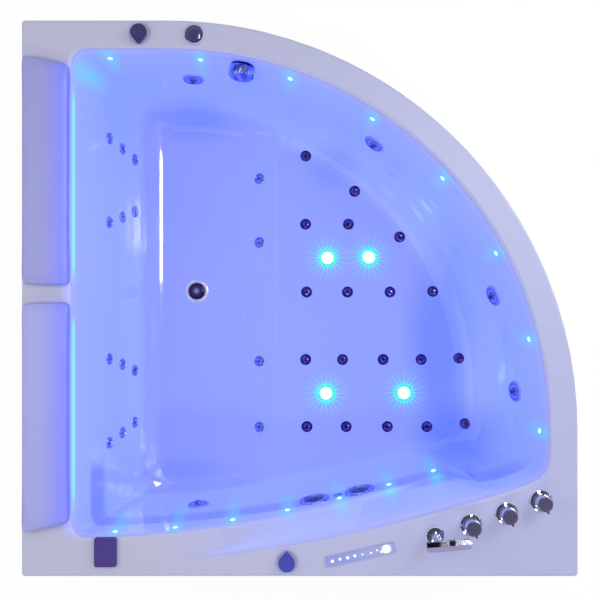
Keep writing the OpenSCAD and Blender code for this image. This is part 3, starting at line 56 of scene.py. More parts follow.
# The studio: a white room with broad soft lights overhead and at two sides. Narrow strips draw the
# bright lines on the bends of the acrylic, and the pale floor keeps the tub's shadow.
def soft_light(name, place, aim, width, length, watts):
    """A flat rectangular lamp that is turned to its aim."""
    lamp = bpy.data.lights.new(name, "AREA")
    lamp.shape = "RECTANGLE"
    lamp.size = width
    lamp.size_y = length
    lamp.energy = watts
    light = bpy.data.objects.new(name, lamp)
    bpy.context.collection.objects.link(light)
    light.location = place
    light.rotation_euler = (Vector(place) - Vector(aim)).to_track_quat("Z", "Y").to_euler()
    return light


# The broad lights: name, place, aim, side length and watts. Polished surfaces don't mirror them.
broad_lights = (("overhead_soft_light", (0.2, 0.3, 4.2), (0, 0, 0.4), 3.0, 34),
                ("key_light", (2.3, 1.6, 1.9), (0.3, -0.5, 0.6), 0.8, 13),
                ("left_fill_light", (-1.6, 0.1, 2.3), (0, 0, 0.3), 1.2, 12))
for name, place, aim, size, watts in broad_lights:
    soft_light(name, place, aim, size, size, watts).visible_glossy = False
# The strips that only draw highlights: place, width, length and watts. Each looks straight to the left.
highlight_strips = (((2.3, 0.92, 1.7), 1.2, 0.34, 26),
                    ((0.95, 0.66, 3.1), 1.1, 0.28, 20),
                    ((1.7, -0.95, 2.4), 0.25, 0.14, 2.2))
for number, (place, width, length, watts) in enumerate(highlight_strips, 1):
    aim = (-0.4, place[1], 0.2)
    soft_light(f"highlight_strip_{number}", place, aim, width, length, watts).visible_diffuse = False
soft_light("right_strip_light", (1.9, 0.5, 2.4), (0, 0, 0.3), 1.8, 0.16, 10)
soft_light("wall_side_strip_light", (0.1, -1.8, 2.3), (0, 0, 0.4), 1.6, 0.14, 8)

world = bpy.data.worlds.new("white_room")
bpy.context.scene.world = world
world.use_nodes = True
room = world.node_tree
lit_room = room.nodes["Background"]
lit_room.inputs["Color"].default_value = (1, 1, 1, 1)
lit_room.inputs["Strength"].default_value = 0.34
# What the camera sees behind the tub, straight or through glass.
bright_room = room.nodes.new("ShaderNodeBackground")
bright_room.inputs["Color"].default_value = (1, 1, 1, 1)
# What polished surfaces mirror: a room that is pale at its walls and dim around the camera overhead.
mirrored_room = room.nodes.new("ShaderNodeBackground")
mirrored_room.inputs["Color"].default_value = (0.93, 0.94, 1, 1)
direction = room.nodes.new("ShaderNodeTexCoord")
upward = room.nodes.new("ShaderNodeSeparateXYZ")
dimming = room.nodes.new("ShaderNodeMapRange")
dimming.interpolation_type = "SMOOTHSTEP"
for socket, value in (("From Min", 0.45), ("From Max", 0.95), ("To Min", 0.95), ("To Max", 0.1)):
    dimming.inputs[socket].default_value = value
room_path = room.nodes.new("ShaderNodeLightPath")
room_seen = room.nodes.new("ShaderNodeMath")
room_seen.operation = "MAXIMUM"
mirror_mix = room.nodes.new("ShaderNodeMixShader")
room_mix = room.nodes.new("ShaderNodeMixShader")
for output, socket in ((direction.outputs["Generated"], upward.inputs[0]),
                       (upward.outputs[2], dimming.inputs["Value"]),
                       (dimming.outputs[0], mirrored_room.inputs["Strength"]),
                       (room_path.outputs["Is Glossy Ray"], mirror_mix.inputs[0]),
                       (lit_room.outputs[0], mirror_mix.inputs[1]),
                       (mirrored_room.outputs[0], mirror_mix.inputs[2]),
                       (room_path.outputs["Is Camera Ray"], room_seen.inputs[0]),
                       (room_path.outputs["Is Transmission Ray"], room_seen.inputs[1]),
                       (room_seen.outputs[0], room_mix.inputs[0]),
                       (mirror_mix.outputs[0], room_mix.inputs[1]),
                       (bright_room.outputs[0], room_mix.inputs[2]),
                       (room_mix.outputs[0], room.nodes["World Output"].inputs["Surface"])):
    room.links.new(output, socket)

bpy.ops.object.select_all(action="DESELECT")
bpy.ops.mesh.primitive_plane_add(size=14, location=(0, 0, -0.001))
studio_floor = bpy.context.object
studio_floor.name = "studio_floor"
floor_paint = bpy.data.materials.new("studio_floor_paint")
floor_paint.use_nodes = True
floor_tree = floor_paint.node_tree
floor_surface = floor_tree.nodes["Principled BSDF"]
floor_surface.inputs["Base Color"].default_value = (0.9, 0.9, 0.9, 1)
floor_surface.inputs["Roughness"].default_value = 0.7
# The camera sees most of the floor as plain white, and the rest as paint with the shadow on it.
floor_glow = floor_tree.nodes.new("ShaderNodeEmission")
floor_glow.inputs["Strength"].default_value = 1.06
floor_path = floor_tree.nodes.new("ShaderNodeLightPath")
floor_share = floor_tree.nodes.new("ShaderNodeMath")
floor_share.operation = "MULTIPLY"
floor_share.inputs[1].default_value = 0.85
floor_mix = floor_tree.nodes.new("ShaderNodeMixShader")
for output, socket in ((floor_path.outputs["Is Camera Ray"], floor_share.inputs[0]),
                       (floor_share.outputs[0], floor_mix.inputs[0]),
                       (floor_surface.outputs[0], floor_mix.inputs[1]),
                       (floor_glow.outputs[0], floor_mix.inputs[2]),
                       (floor_mix.outputs[0], floor_tree.nodes["Material Output"].inputs["Surface"])):
    floor_tree.links.new(output, socket)
studio_floor.data.materials.append(floor_paint)


# The tub shell: one sheet of cast acrylic, drawn over a mould and backed with glass fibre. Its rim is a
# pale lilac white; the basin's blue is painted light standing in for its own lamps, deepest in the coves.
class Amount:
    """A number that changes over a surface. The usual signs add Math nodes."""

    def __init__(self, finish, socket):
        self.finish = finish
        self.socket = socket

    def math(self, operation, *inputs):
        made = self.finish.node("Math", {"operation": operation}, dict(enumerate(inputs)))
        return Amount(self.finish, made.outputs[0])

    def __add__(self, other):
        return self.math("ADD", self, other)

    def __radd__(self, other):
        return self.math("ADD", other, self)

    def __sub__(self, other):
        return self.math("SUBTRACT", self, other)

    def __rsub__(self, other):
        return self.math("SUBTRACT", other, self)

    def __mul__(self, other):
        return self.math("MULTIPLY", self, other)

    def __rmul__(self, other):
        return self.math("MULTIPLY", other, self)

    def __truediv__(self, other):
        return self.math("DIVIDE", self, other)

    def __pow__(self, other):
        return self.math("POWER", self, other)

    def __neg__(self):
        return self.math("MULTIPLY", self, -1.0)

    def __abs__(self):
        return self.math("ABSOLUTE", self)

    def larger(self, other):
        return self.math("MAXIMUM", self, other)

    def smaller(self, other):
        return self.math("MINIMUM", self, other)

    def cosine(self):
        return self.math("COSINE", self)

    def between(self, low, high):
        """0 below low, 1 above high, and a soft step from one to the other."""
        made = self.finish.node("MapRange", {"interpolation_type": "SMOOTHSTEP"},
                                {"Value": self, "From Min": low, "From Max": high})
        return Amount(self.finish, made.outputs[0])


class Finish:
    """One material: a Principled surface, and the nodes that feed its colour, roughness and grain."""

    def __init__(self, name, colour, roughness, metal=0.0, coat=0.0, coat_roughness=0.03):
        self.material = bpy.data.materials.new(name)
        self.material.use_nodes = True
        self.tree = self.material.node_tree
        self.surface = self.tree.nodes["Principled BSDF"]
        for socket, value in (("Base Color", colour), ("Roughness", roughness), ("Metallic", metal),
                              ("Coat Weight", coat), ("Coat Roughness", coat_roughness)):
            self.set(socket, value)
        self.place = self.node("TexCoord", {}, {}).outputs["Object"]
        parts = self.node("SeparateXYZ", {}, {0: self.place}).outputs
        self.x, self.y, self.z = (Amount(self, parts[i]) for i in range(3))

    def feed(self, socket, value):
        """Gives a socket a number, a colour or a link."""
        if isinstance(value, Amount):
            value = value.socket
        if isinstance(value, bpy.types.NodeSocket):
            self.tree.links.new(value, socket)
        elif isinstance(value, (tuple, list)) and len(value) == 3 and len(socket.default_value) == 4:
            socket.default_value = (*value, 1)
        else:
            socket.default_value = value

    def node(self, kind, settings, values):
        """Any node: its settings go in first, then the values or links of its sockets."""
        made = self.tree.nodes.new("ShaderNode" + kind)
        for name, value in settings.items():
            if name == "stops":
                while len(made.color_ramp.elements) < len(value):
                    made.color_ramp.elements.new(0.5)
                for element, (position, colour) in zip(made.color_ramp.elements, value):
                    element.position = position
                    element.color = (*colour, 1)
            else:
                setattr(made, name, value)
        for name, value in values.items():
            self.feed(made.inputs[name], value)
        return made

    def set(self, name, value):
        self.feed(self.surface.inputs[name], value)

    def mix(self, factor, first, second):
        """A colour that goes from first to second as the factor goes from 0 to 1."""
        return self.node("Mix", {"data_type": "RGBA"}, {0: factor, 6: first, 7: second}).outputs[2]

    def ramp(self, amount, *stops):
        """A colour that runs through the stops, each at its own share of the amount."""
        return self.node("ValToRGB", {"stops": stops}, {0: amount}).outputs[0]

    def noise(self, scale, detail=2.0, stretch=(1, 1, 1)):
        where = self.node("Mapping", {}, {"Vector": self.place, "Scale": stretch}).outputs[0]
        made = self.node("TexNoise", {}, {"Vector": where, "Scale": scale, "Detail": detail})
        return Amount(self, made.outputs[0])

    def distance(self, x, y):
        """How far a place lies from the upright line through x and y."""
        return diagonal(self.x - x, self.y - y)

    def turned(self, x, y, angle):
        """How far a place lies along and across a line that passes through x and y at an angle."""
        from_x = self.x - x
        from_y = self.y - y
        return (from_x * math.cos(angle) + from_y * math.sin(angle),
                from_y * math.cos(angle) - from_x * math.sin(angle))

    def tint(self, factor, first, second):
        """The surface's colour goes from first to second."""
        self.set("Base Color", self.mix(factor, first, second))

    def shine(self, colour, strength):
        """The surface gives off light of this colour."""
        self.set("Emission Color", colour)
        self.set("Emission Strength", strength)

    def roughen(self, low, spread, scale, detail=2.0):
        """Roughness that wanders upwards from low by up to the spread."""
        self.set("Roughness", low + self.noise(scale, detail) * spread)

    def bump(self, height, depth):
        made = self.node("Bump", {}, {"Strength": 1.0, "Distance": depth, "Height": height})
        self.set("Normal", made.outputs[0])

    def grain(self, scale, depth, detail=2.0):
        """A fine relief of this depth in metres."""
        self.bump(self.noise(scale, detail), depth)

    def on(self, *names):
        """Puts the finish on these CAD nodes."""
        for name in names:
            for slot in nodes[name].material_slots:
                slot.material = self.material


def diagonal(across, along):
    """The straight distance that two lengths square to each other make."""
    return (across * across + along * along) ** 0.5


def shown(red, green, blue):
    """A colour as it looks on a screen, from 0 to 255, turned into the light that the shader needs."""
    return tuple(c / 12.92 if c <= 0.04045 else ((c + 0.055) / 1.055) ** 2.4
                 for c in (red / 255, green / 255, blue / 255))


def middles(name, reach):
    """The middles of the separate pieces in a CAD node, found by gathering its points."""
    groups = []
    for point in (v.co for v in nodes[name].data.vertices):
        for group in groups:
            if (group[0] - point).length < reach:
                group[1] = Vector(map(min, group[1], point))
                group[2] = Vector(map(max, group[2], point))
                break
        else:
            groups.append([point.copy(), point.copy(), point.copy()])
    return [(low + high) / 2 for first, low, high in groups]


rim_z = 0.6
basin_depth = 0.43
front_middle = -0.356
rim_light_spots = middles("rim_lights", 0.045)
floor_light_spots = middles("floor_light_lenses", 0.06)
acrylic = Finish("lit_acrylic", (0.5, 0.5, 0.7), 0.09, coat=0.6)
deep = rim_z - acrylic.z
# How far out a place lies, 0.75 on the rim's outer edge, round the front and along the two walls.
round_front = diagonal((acrylic.x - front_middle).larger(0), (acrylic.y - front_middle).larger(0))
outward = (round_front + front_middle).larger(-acrylic.x).larger(-acrylic.y)
inside_edge = 1 - outward.between(0.715, 0.735)
basin_gloss = deep.between(0.004, 0.04) * inside_edge
# The armrest ledge leaves the rim slowly, and keeps the rim's pale colour where it is high.
ledge_start = -0.45
ledge_run = 0.85
ledge_drop = 0.112
ledge_curve = 1.3
ledge_depth = ledge_drop * ((acrylic.x - ledge_start) / ledge_run).larger(0).smaller(1) ** ledge_curve
ledge_side = 1 - acrylic.y.between(-0.5, -0.44)
on_ledge = (1 - abs(deep - ledge_depth).between(0.003, 0.012)) * ledge_side
pale_ledge = on_ledge * (1 - acrylic.x.between(-0.3, 0.3)) * 0.9
in_basin = deep.between(0.002, 0.018) * inside_edge * (1 - pale_ledge)
# The shell's back is bare glass fibre: the faces that look away from a place high over the basin.
lookout_z = 0.8
face = acrylic.node("SeparateXYZ", {}, {0: acrylic.node("TexCoord", {}, {}).outputs["Normal"]}).outputs
face_x, face_y, face_z = (Amount(acrylic, face[i]) for i in range(3))
facing = face_z * (lookout_z - acrylic.z) - face_x * acrylic.x - face_y * acrylic.y
inner_face = facing.between(-0.01, 0.01)
backing = (1 - inner_face) * deep.between(0.02, 0.03) * (1 - outward.between(0.735, 0.745))
fibres = acrylic.noise(55, 4.0).between(0.35, 0.65)
glass_fibre = acrylic.mix(fibres, shown(196, 190, 172), shown(222, 218, 204))
# The rim beside the pillows catches the basin's light as well.
beside_pillows = acrylic.x.between(-0.648, -0.618) * (1 - acrylic.x.between(-0.57, -0.55))
pillow_side = beside_pillows * (1 - abs(acrylic.y).between(0.6, 0.66))
in_basin = in_basin.larger(pillow_side * 0.9) * inner_face
# The rim's colour turns a little bluer towards its right end: painted light.
rim_colour = acrylic.mix(acrylic.x.between(-0.75, 0.75), shown(192, 192, 219), shown(186, 190, 234))
# The basin's blue, painted light, from the lip at 0 down to the foot floor at 1: painted lighter at the lip
# and darker at the bottom.
wall_colour = acrylic.ramp(deep / basin_depth,
                           (0.0, shown(160, 166, 246)), (0.12, shown(146, 162, 252)),
                           (0.5, shown(136, 156, 252)), (0.8, shown(142, 159, 251)),
                           (0.88, shown(132, 144, 240)), (1.0, shown(133, 144, 240)))
# Darker blue blotches over the basin: painted uneven shade.
blotchy_shade = acrylic.noise(2.2, 1.0).between(0.35, 0.75)
wall_colour = acrylic.mix(blotchy_shade * 0.2, wall_colour, shown(118, 138, 248))
# The top of the armrest ledge is painted a darker blue: painted shade.
ledge_top_shade = deep.between(0.09, 0.11) * (1 - deep.between(0.15, 0.19)) * ledge_side
wall_colour = acrylic.mix(ledge_top_shade * 0.85, wall_colour, shown(106, 122, 232))
# Where the light of the lamps reaches least: x, y, half width, half length and how dark.
for x, y, wide, long, dark in ((0.43, -0.12, 0.12, 0.34, 0.75), (-0.33, 0.55, 0.15, 0.07, 0.6),
                               (-0.36, -0.54, 0.15, 0.05, 0.4), (0.1, 0.4, 0.09, 0.08, 0.4),
                               (0.47, -0.42, 0.14, 0.12, 1.0)):
    away = diagonal((acrylic.x - x) / wide, (acrylic.y - y) / long)
    wall_colour = acrylic.mix((1 - away.between(0.2, 1.2)) * dark, wall_colour, shown(100, 124, 248))
# The glow round each rim light, and in the corner between the backrest and the front.
glow = 0.0
for spot in rim_light_spots:
    near = acrylic.distance(spot.x, spot.y)
    glow = glow + (1 - near.between(0.0, 0.04)) ** 1.3
corner_glow = (1 - acrylic.distance(-0.588, 0.618).between(0.0, 0.06)) ** 1.5 * 0.75
glow = (glow * 0.7 + corner_glow).smaller(1) * in_basin
# Each floor light throws a bright disc and two stars of rays on the foot floor.
foot_floor = deep.between(0.34, 0.37)
rays = 0.0
for spot in floor_light_spots:
    from_x = acrylic.x - spot.x
    from_y = acrylic.y - spot.y
    far = diagonal(from_x, from_y)
    turn = from_y.math("ARCTAN2", from_y, from_x)
    star = abs((turn * 10.0).cosine()) ** 8.0
    fine_star = abs((turn * 17.0 + 0.7).cosine()) ** 6.0
    disc = (1 - far.between(0.02, 0.045)) * 0.55
    rays = rays + disc + (1 - far.between(0.026, 0.082)) * (star * 0.5 + fine_star * 0.35)
rays = (rays * foot_floor).smaller(1)
ray_colour = acrylic.mix(rays.between(0.35, 0.9), shown(96, 206, 250), shown(50, 236, 190))
# A thin bright cyan line on the lip in front of each pillow: a painted highlight.
lip_length = abs(acrylic.y).between(0.03, 0.1) * (1 - abs(acrylic.y).between(0.5, 0.6))
lip_highlight = acrylic.x.between(-0.6165, -0.6145) * (1 - acrylic.x.between(-0.612, -0.6095)) * lip_length
basin_colour = acrylic.mix(glow * 0.62, wall_colour, shown(76, 222, 250))
basin_colour = acrylic.mix(rays, basin_colour, ray_colour)
basin_colour = acrylic.mix(lip_highlight * 0.9, basin_colour, shown(120, 236, 244))
# The basin takes its painted light as colour and also glows with it, though the acrylic is no lamp; the rim
# keeps its own colour and the back its glass fibre.
acrylic.tint(backing, acrylic.mix(in_basin, rim_colour, basin_colour), glass_fibre)
acrylic.shine(acrylic.mix(in_basin, (0, 0, 0), basin_colour), 0.49)
rim_roughness = 0.42
basin_polish = 0.33
acrylic.set("Roughness", rim_roughness - basin_gloss * basin_polish + acrylic.noise(60, 3.0) * 0.05)
acrylic.set("Coat Weight", basin_gloss * 0.6)
acrylic.grain(scale=9, depth=0.0006)
acrylic.on("tub_shell")

# The front apron: a bent sheet of the same acrylic under the curved rim, hung on stubs from the posts.
# It stays the plain lilac white of the rim, with a trace of orange peel, and is painted darker towards the
# bottom as shade.
apron_acrylic = Finish("apron_acrylic", shown(206, 207, 228), 0.16, coat=0.5)
apron_acrylic.tint(apron_acrylic.z.between(0.0, 0.6), shown(198, 200, 224), shown(212, 213, 231))
apron_acrylic.roughen(0.14, spread=0.08, scale=40, detail=3.0)
apron_acrylic.grain(scale=25, depth=0.0008)
apron_acrylic.on("front_apron")

# The regulator bases in the rim: round acrylic discs of the rim's colour. Each is let into the rim
# from above and held by a nut underneath.
base_plastic = Finish("regulator_base_plastic", shown(178, 178, 226), 0.15, coat=0.4)
base_plastic.roughen(0.12, spread=0.1, scale=300)
base_plastic.on("regulator_bodies")

# The air jets: small domes of dark glossy plastic over the air holes of the foot floor and of the bend
# round it. The blue light makes them look violet black with a bright rim.
air_plastic = Finish("air_jet_plastic", shown(40, 28, 120), 0.12, metal=0.55, coat=0.8)
air_plastic.tint(air_plastic.noise(90, 1.0).between(0.4, 0.62), shown(34, 20, 112), shown(84, 66, 178))
air_plastic.roughen(0.07, spread=0.06, scale=400)
air_plastic.on("air_jets")

# The back and riser jets: pressed rings with a small nozzle in the middle, plated. Their blue is painted
# basin light, and their dark and bright flecks are painted glints. The suction bodies and the level sensor
# are plated and painted in the same way.
ring_metal = Finish("small_jet_metal", shown(120, 126, 225), 0.18, metal=0.75, coat=0.4)
# Painted glints: dark and bright flecks over the painted blue.
ring_metal.tint(ring_metal.noise(260, 1.0).between(0.42, 0.58), shown(66, 84, 200), shown(176, 192, 252))
ring_metal.roughen(0.14, spread=0.15, scale=500)
ring_metal.on("small_jets", "suction_bodies", "level_sensor")

# The bodies of the large jets: moulded plastic. Their faces in the basin are painted blue as the basin's
# light, with pale and dark rings round each nozzle as painted highlight and shade. Each goes through the
# wall, and is plain white behind it.
large_nozzles = ("front_jet_nozzle_1", "front_jet_nozzle_2", "front_jet_nozzle_3", "front_jet_nozzle_4",
                 "ledge_jet_nozzle")
jet_ring_radius = 0.032
far_away = 9.0
jet_plastic = Finish("large_jet_plastic", shown(116, 126, 238), 0.16, metal=0.35, coat=0.6)
from_jet = far_away
for nozzle in large_nozzles:
    low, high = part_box(nozzle)
    middle = [(a + b) / 2 for a, b in zip(low, high)]
    flat = jet_plastic.distance(middle[0], middle[1])
    from_jet = diagonal(flat, jet_plastic.z - middle[2]).smaller(from_jet)
rings = jet_plastic.ramp(from_jet / jet_ring_radius,
                         (0.0, shown(60, 66, 170)), (0.5, shown(70, 84, 205)),
                         (0.56, shown(150, 166, 252)), (0.68, shown(132, 148, 250)),
                         (0.74, shown(78, 92, 214)), (0.84, shown(96, 116, 236)),
                         (0.93, shown(150, 166, 252)))
jet_clouds = jet_plastic.noise(70).between(0.4, 0.6)
painted_face_colour = jet_plastic.mix(jet_clouds * 0.3, rings, shown(128, 142, 246))
jet_plastic.tint(from_jet.between(0.034, 0.036), painted_face_colour, shown(222, 223, 224))
jet_plastic.roughen(0.12, spread=0.1, scale=300)
jet_plastic.on("side_jet_bodies")

# The suction covers: smoked, glossy plastic with a pattern of round holes, moulded in one piece. Each
# sits in a recess of its suction body.
cover_plastic = Finish("nozzle_plastic", shown(46, 42, 130), 0.16, metal=0.3, coat=0.6)
cover_plastic.roughen(0.12, spread=0.12, scale=350)
cover_plastic.on("suction_covers")

# The eyeballs of the large jets: plastic of a lighter violet, polished so that the wall shows in them.
# Each turns in its jet body and can be aimed.
eyeball = Finish("eyeball_plastic", shown(84, 84, 196), 0.12, metal=0.4, coat=0.8)
eyeball.tint(eyeball.noise(110).between(0.4, 0.6), shown(70, 68, 176), shown(104, 108, 220))
eyeball.roughen(0.08, spread=0.1, scale=350)
eyeball.on(*large_nozzles)

# The lock nuts behind the shell: six-sided rings of white moulded nylon. They sit against the back of
# the acrylic, and hold the jets, the suctions, the floor lights and the rim's fittings.
nut_nylon = Finish("nut_nylon", shown(226, 226, 222), 0.45)
nut_nylon.roughen(0.4, spread=0.2, scale=200, detail=3.0)
nut_nylon.grain(scale=500, depth=0.0003)
nut_nylon.on("small_lock_nuts", "large_lock_nuts", "suction_nuts", "deck_nuts")

# The rim lights: clear moulded caps over white-cyan diodes, pressed into the wall below the rim. The
# diode shows through as a mottled glow.
rim_glow = Finish("rim_light_cap", shown(190, 250, 255), 0.1, coat=0.6)
rim_glow.shine(rim_glow.mix(rim_glow.noise(180), shown(130, 255, 235), shown(235, 255, 255)), 1.1)
rim_glow.on("rim_lights")

# The lenses of the floor lights: frosted glass, set in the bezels. The lamp behind makes them white in
# the middle and green-cyan at the edge.
lens_radius = 0.021
lens_glass = Finish("floor_light_lens", shown(160, 255, 240), 0.2, coat=0.5)
from_lamp = far_away
for spot in floor_light_spots:
    from_lamp = lens_glass.distance(spot.x, spot.y).smaller(from_lamp)
lens_light = lens_glass.ramp(from_lamp / lens_radius,
                             (0.0, shown(255, 255, 255)), (0.78, shown(240, 255, 252)),
                             (0.92, shown(60, 240, 190)), (1.0, shown(30, 232, 196)))
lens_glass.set("Base Color", lens_light)
lens_glass.shine(lens_light, 1.15)
lens_glass.on("floor_light_lenses")

# The bezels of the floor lights: polished steel rings, flooded by their own lamp. Their stems go
# through the foot floor and carry a lock nut.
bezel = Finish("floor_light_bezel", shown(80, 228, 186), 0.14, metal=0.6)
bezel.shine(bezel.mix(bezel.noise(160).between(0.4, 0.6), shown(30, 224, 170), shown(130, 246, 226)), 0.62)
bezel.roughen(0.1, spread=0.1, scale=300)
bezel.on("floor_light_bodies")

# Chrome: the flanges of the taps, the holder of the hand shower and the ring round the pump button.
# They are plated brass and plastic, with faint water marks.
chrome_colour = shown(206, 208, 232)
chrome = Finish("chrome_plate", chrome_colour, 0.08, metal=1.0)
water_marks = chrome.noise(90, 4.0).between(0.55, 0.8)
chrome.tint(water_marks * 0.35, shown(204, 206, 232), shown(150, 152, 196))
chrome.set("Roughness", 0.06 + water_marks * 0.12)
chrome.on("tap_flanges", "shower_holder", "pump_button_bezel")

# The waste: a flange in satin chrome, and the plug's dark polished dome, with a pale spot in its middle that
# is a painted reflection of the ceiling. The flange goes through the seat floor into the trap.
flange_metal = Finish("waste_flange_satin", shown(226, 226, 244), 0.25, metal=0.3, coat=0.3)
flange_metal.tint(flange_metal.noise(140).between(0.4, 0.6), shown(214, 212, 232), shown(240, 240, 250))
flange_metal.roughen(0.2, spread=0.1, scale=300)
flange_metal.on("drain_flange")
plug_radius = 0.026
glint_offset = 0.001
plug_metal = Finish("plug_dome", shown(52, 40, 110), 0.16, metal=0.5, coat=0.5)
low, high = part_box("drain_plug")
glint_x = (low[0] + high[0]) / 2 - glint_offset
glint_y = (low[1] + high[1]) / 2 + glint_offset
# Painted reflection: a pale spot a little off the plug's middle, fading to dark violet at its edge.
plug_colour = plug_metal.ramp(plug_metal.distance(glint_x, glint_y) / plug_radius,
                              (0.0, shown(226, 222, 226)), (0.16, shown(176, 168, 186)),
                              (0.42, shown(80, 68, 134)), (0.8, shown(40, 28, 96)),
                              (1.0, shown(30, 20, 70)))
plug_metal.set("Base Color", plug_colour)
plug_metal.roughen(0.14, spread=0.08, scale=300)
plug_metal.on("drain_plug")

# The touch panel's frame: a pale lilac strip of moulded plastic, almost of the rim's colour. It lies in
# a slot of the rim and follows the rim's slant.
frame_plastic = Finish("panel_frame_plastic", shown(170, 174, 228), 0.25, coat=0.3)
frame_plastic.roughen(0.2, spread=0.12, scale=200)
frame_plastic.tint(frame_plastic.noise(60), shown(164, 168, 226), shown(178, 182, 232))
frame_plastic.on("panel_frame")

# The overflow and its turning knob: chromed too. Their blue, with light and dark streaks, is a painted
# reflection of the blue basin. The body goes through the curved wall to the overflow pipe.
blue_chrome = Finish("overflow_chrome", shown(132, 146, 238), 0.12, metal=1.0)
reflection_streaks = blue_chrome.noise(38, stretch=(1, 1, 0.2)).between(0.42, 0.6)
blue_chrome.tint(reflection_streaks, shown(72, 84, 196), shown(168, 184, 252))
blue_chrome.set("Roughness", 0.09 + reflection_streaks * 0.08)
blue_chrome.on("overflow_body", "overflow_knob")

# The hand shower: a chromed bar on its handle. The half of the bar that slopes to the basin is painted dark
# with painted glints, and the flat half, which faces the ceiling, is painted pale: painted reflections.
shower_x = 0.364
shower_y = -0.639754
shower_turn = math.radians(5)
shower_metal = Finish("hand_shower_chrome", chrome_colour, 0.08, metal=1.0)
lengthwise, aside = shower_metal.turned(shower_x, shower_y, shower_turn)
bar_part = shower_metal.z.between(0.702, 0.706)
slope_side = aside.between(0.0002, 0.0012)
slope_half = bar_part * slope_side
flat_half = bar_part * (1 - slope_side)
# The glints are painted highlights along the sloping half.
glints = shower_metal.noise(34, 1.5, stretch=(1, 0.2, 0.2)).between(0.5, 0.56)
glints = (glints + lengthwise.between(0.036, 0.039)).smaller(1)
slope_colour = shower_metal.mix(glints, shown(44, 38, 62), shown(214, 212, 236))
bar_colour = shower_metal.mix(slope_half, chrome_colour, slope_colour)
shower_metal.tint(flat_half, bar_colour, shown(176, 168, 212))
shower_metal.set("Metallic", 1 - flat_half * 0.75)
shower_metal.set("Roughness", 0.08 + flat_half * 0.14 + shower_metal.noise(120) * 0.05)
shower_metal.on("hand_shower")

# The three tap knobs: turned and chromed sleeves, with a brushed dark disc let into the top of each.
# Each sits on a spindle of the mixer valve below.
tap_metal = Finish("tap_knob_chrome", chrome_colour, 0.08, metal=1.0)
knob_top = tap_metal.z.between(0.6488, 0.6494)
brushed = tap_metal.noise(50, stretch=(1, 22, 1))
disc_colour = tap_metal.mix(brushed, shown(74, 68, 100), shown(118, 112, 146))
tap_metal.tint(knob_top, chrome_colour, disc_colour)
tap_metal.set("Roughness", 0.07 + knob_top * (0.2 + brushed * 0.15))
tap_metal.set("Metallic", 1 - knob_top * 0.4)
tap_metal.on("hot_knob", "cold_knob", "diverter_knob")

# The waterfall spout: a flat box with a slot towards the basin, in brushed and blued steel. It stands
# on the rim, and its stem goes down through the rim into its pipe.
spout_steel = Finish("spout_steel", shown(98, 80, 164), 0.3, metal=0.55)
brushing = spout_steel.noise(60, 3.0, stretch=(0.6, 14, 1))
spout_steel.tint(brushing, shown(84, 62, 152), shown(108, 92, 178))
spout_steel.set("Roughness", 0.25 + brushing * 0.2)
spout_steel.bump(brushing, 0.0002)
spout_steel.on("spout_plate")

# The regulator knobs and the pump button: glossy coloured plastic. The knobs have a raised pointer and
# turn on their bases, and the button is pushed down in its ring.
knob_plastic = Finish("knob_plastic", shown(70, 64, 130), 0.14, coat=0.7)
# Painted light: the parts below the tub's middle line are painted bluer, and those above darker.
knob_plastic.tint(knob_plastic.y.between(-0.2, 0.2), shown(74, 80, 190), shown(66, 60, 112))
knob_plastic.roughen(0.12, spread=0.1, scale=300)
knob_plastic.on("upper_regulator_knob", "lower_regulator_knob", "pump_button")

# The touch panel: a strip of tinted glass in a thin frame that follows the rim. Nine small lamps shine
# through the print on its back, one of them green and the last a wide white glow.
panel_x = 0.162
panel_y = -0.6908
panel_turn = math.radians(12.74)
green_place = 0.007
panel_glass = Finish("panel_glass", shown(120, 122, 190), 0.08, coat=1.0)
along_panel, across_panel = panel_glass.turned(panel_x, panel_y, panel_turn)
# The white lamps: place along the panel, place across it, and size.
lamps = 0.0
for place, sideways, size in ((-0.076, 0, 0.004), (-0.055, 0.001, 0.0034), (-0.034, 0, 0.0038),
                              (-0.014, 0.001, 0.0036), (0.03, -0.001, 0.0026), (0.048, 0.002, 0.0022),
                              (0.058, -0.004, 0.003), (0.073, 0, 0.011)):
    off = diagonal(along_panel - place, across_panel - sideways)
    lamps = lamps + (1 - off.between(size * 0.35, size * 1.5))
lamps = lamps.smaller(1)
green_lamp = 1 - diagonal(along_panel - green_place, across_panel).between(0.0015, 0.0055)
# The glass is painted lighter towards its right end: painted light.
glass_colour = panel_glass.mix(panel_glass.x.between(0.08, 0.25), shown(160, 168, 236), shown(178, 184, 242))
panel_glass.tint(lamps, glass_colour, shown(240, 244, 255))
white_light = panel_glass.mix(lamps, (0, 0, 0), shown(235, 242, 255))
panel_glass.shine(panel_glass.mix(green_lamp, white_light, shown(60, 220, 170)), 1.0)
panel_glass.roughen(0.06, spread=0.05, scale=80)
panel_glass.on("panel_glass")

# The mixer valve under the rim: one casting in brass, rough from the sand. Its three necks come up
# through the rim to the knobs, and hot and cold water come in at its two inlets.
brass = Finish("cast_brass", shown(190, 160, 96), 0.38, metal=1.0)
brass.tint(brass.noise(40, 3.0), shown(170, 138, 78), shown(206, 178, 112))
brass.roughen(0.32, spread=0.2, scale=160, detail=3.0)
brass.grain(scale=240, depth=0.0005, detail=3.0)
brass.on("mixer_valve")

# The base frame: square steel tube, cut, welded and hot-dip galvanised. Its posts carry the rim, and
# its bearers and shelves carry the shell and the machines.
zinc = Finish("galvanised_steel", shown(150, 154, 160), 0.42, metal=0.9)
zinc.tint(zinc.noise(90), shown(132, 136, 143), shown(176, 180, 186))
zinc.roughen(0.36, spread=0.2, scale=70, detail=3.0)
zinc.grain(scale=200, depth=0.0003)
zinc.on("frame_posts", "base_rails", "floor_bearers", "apron_brackets", "equipment_shelves")

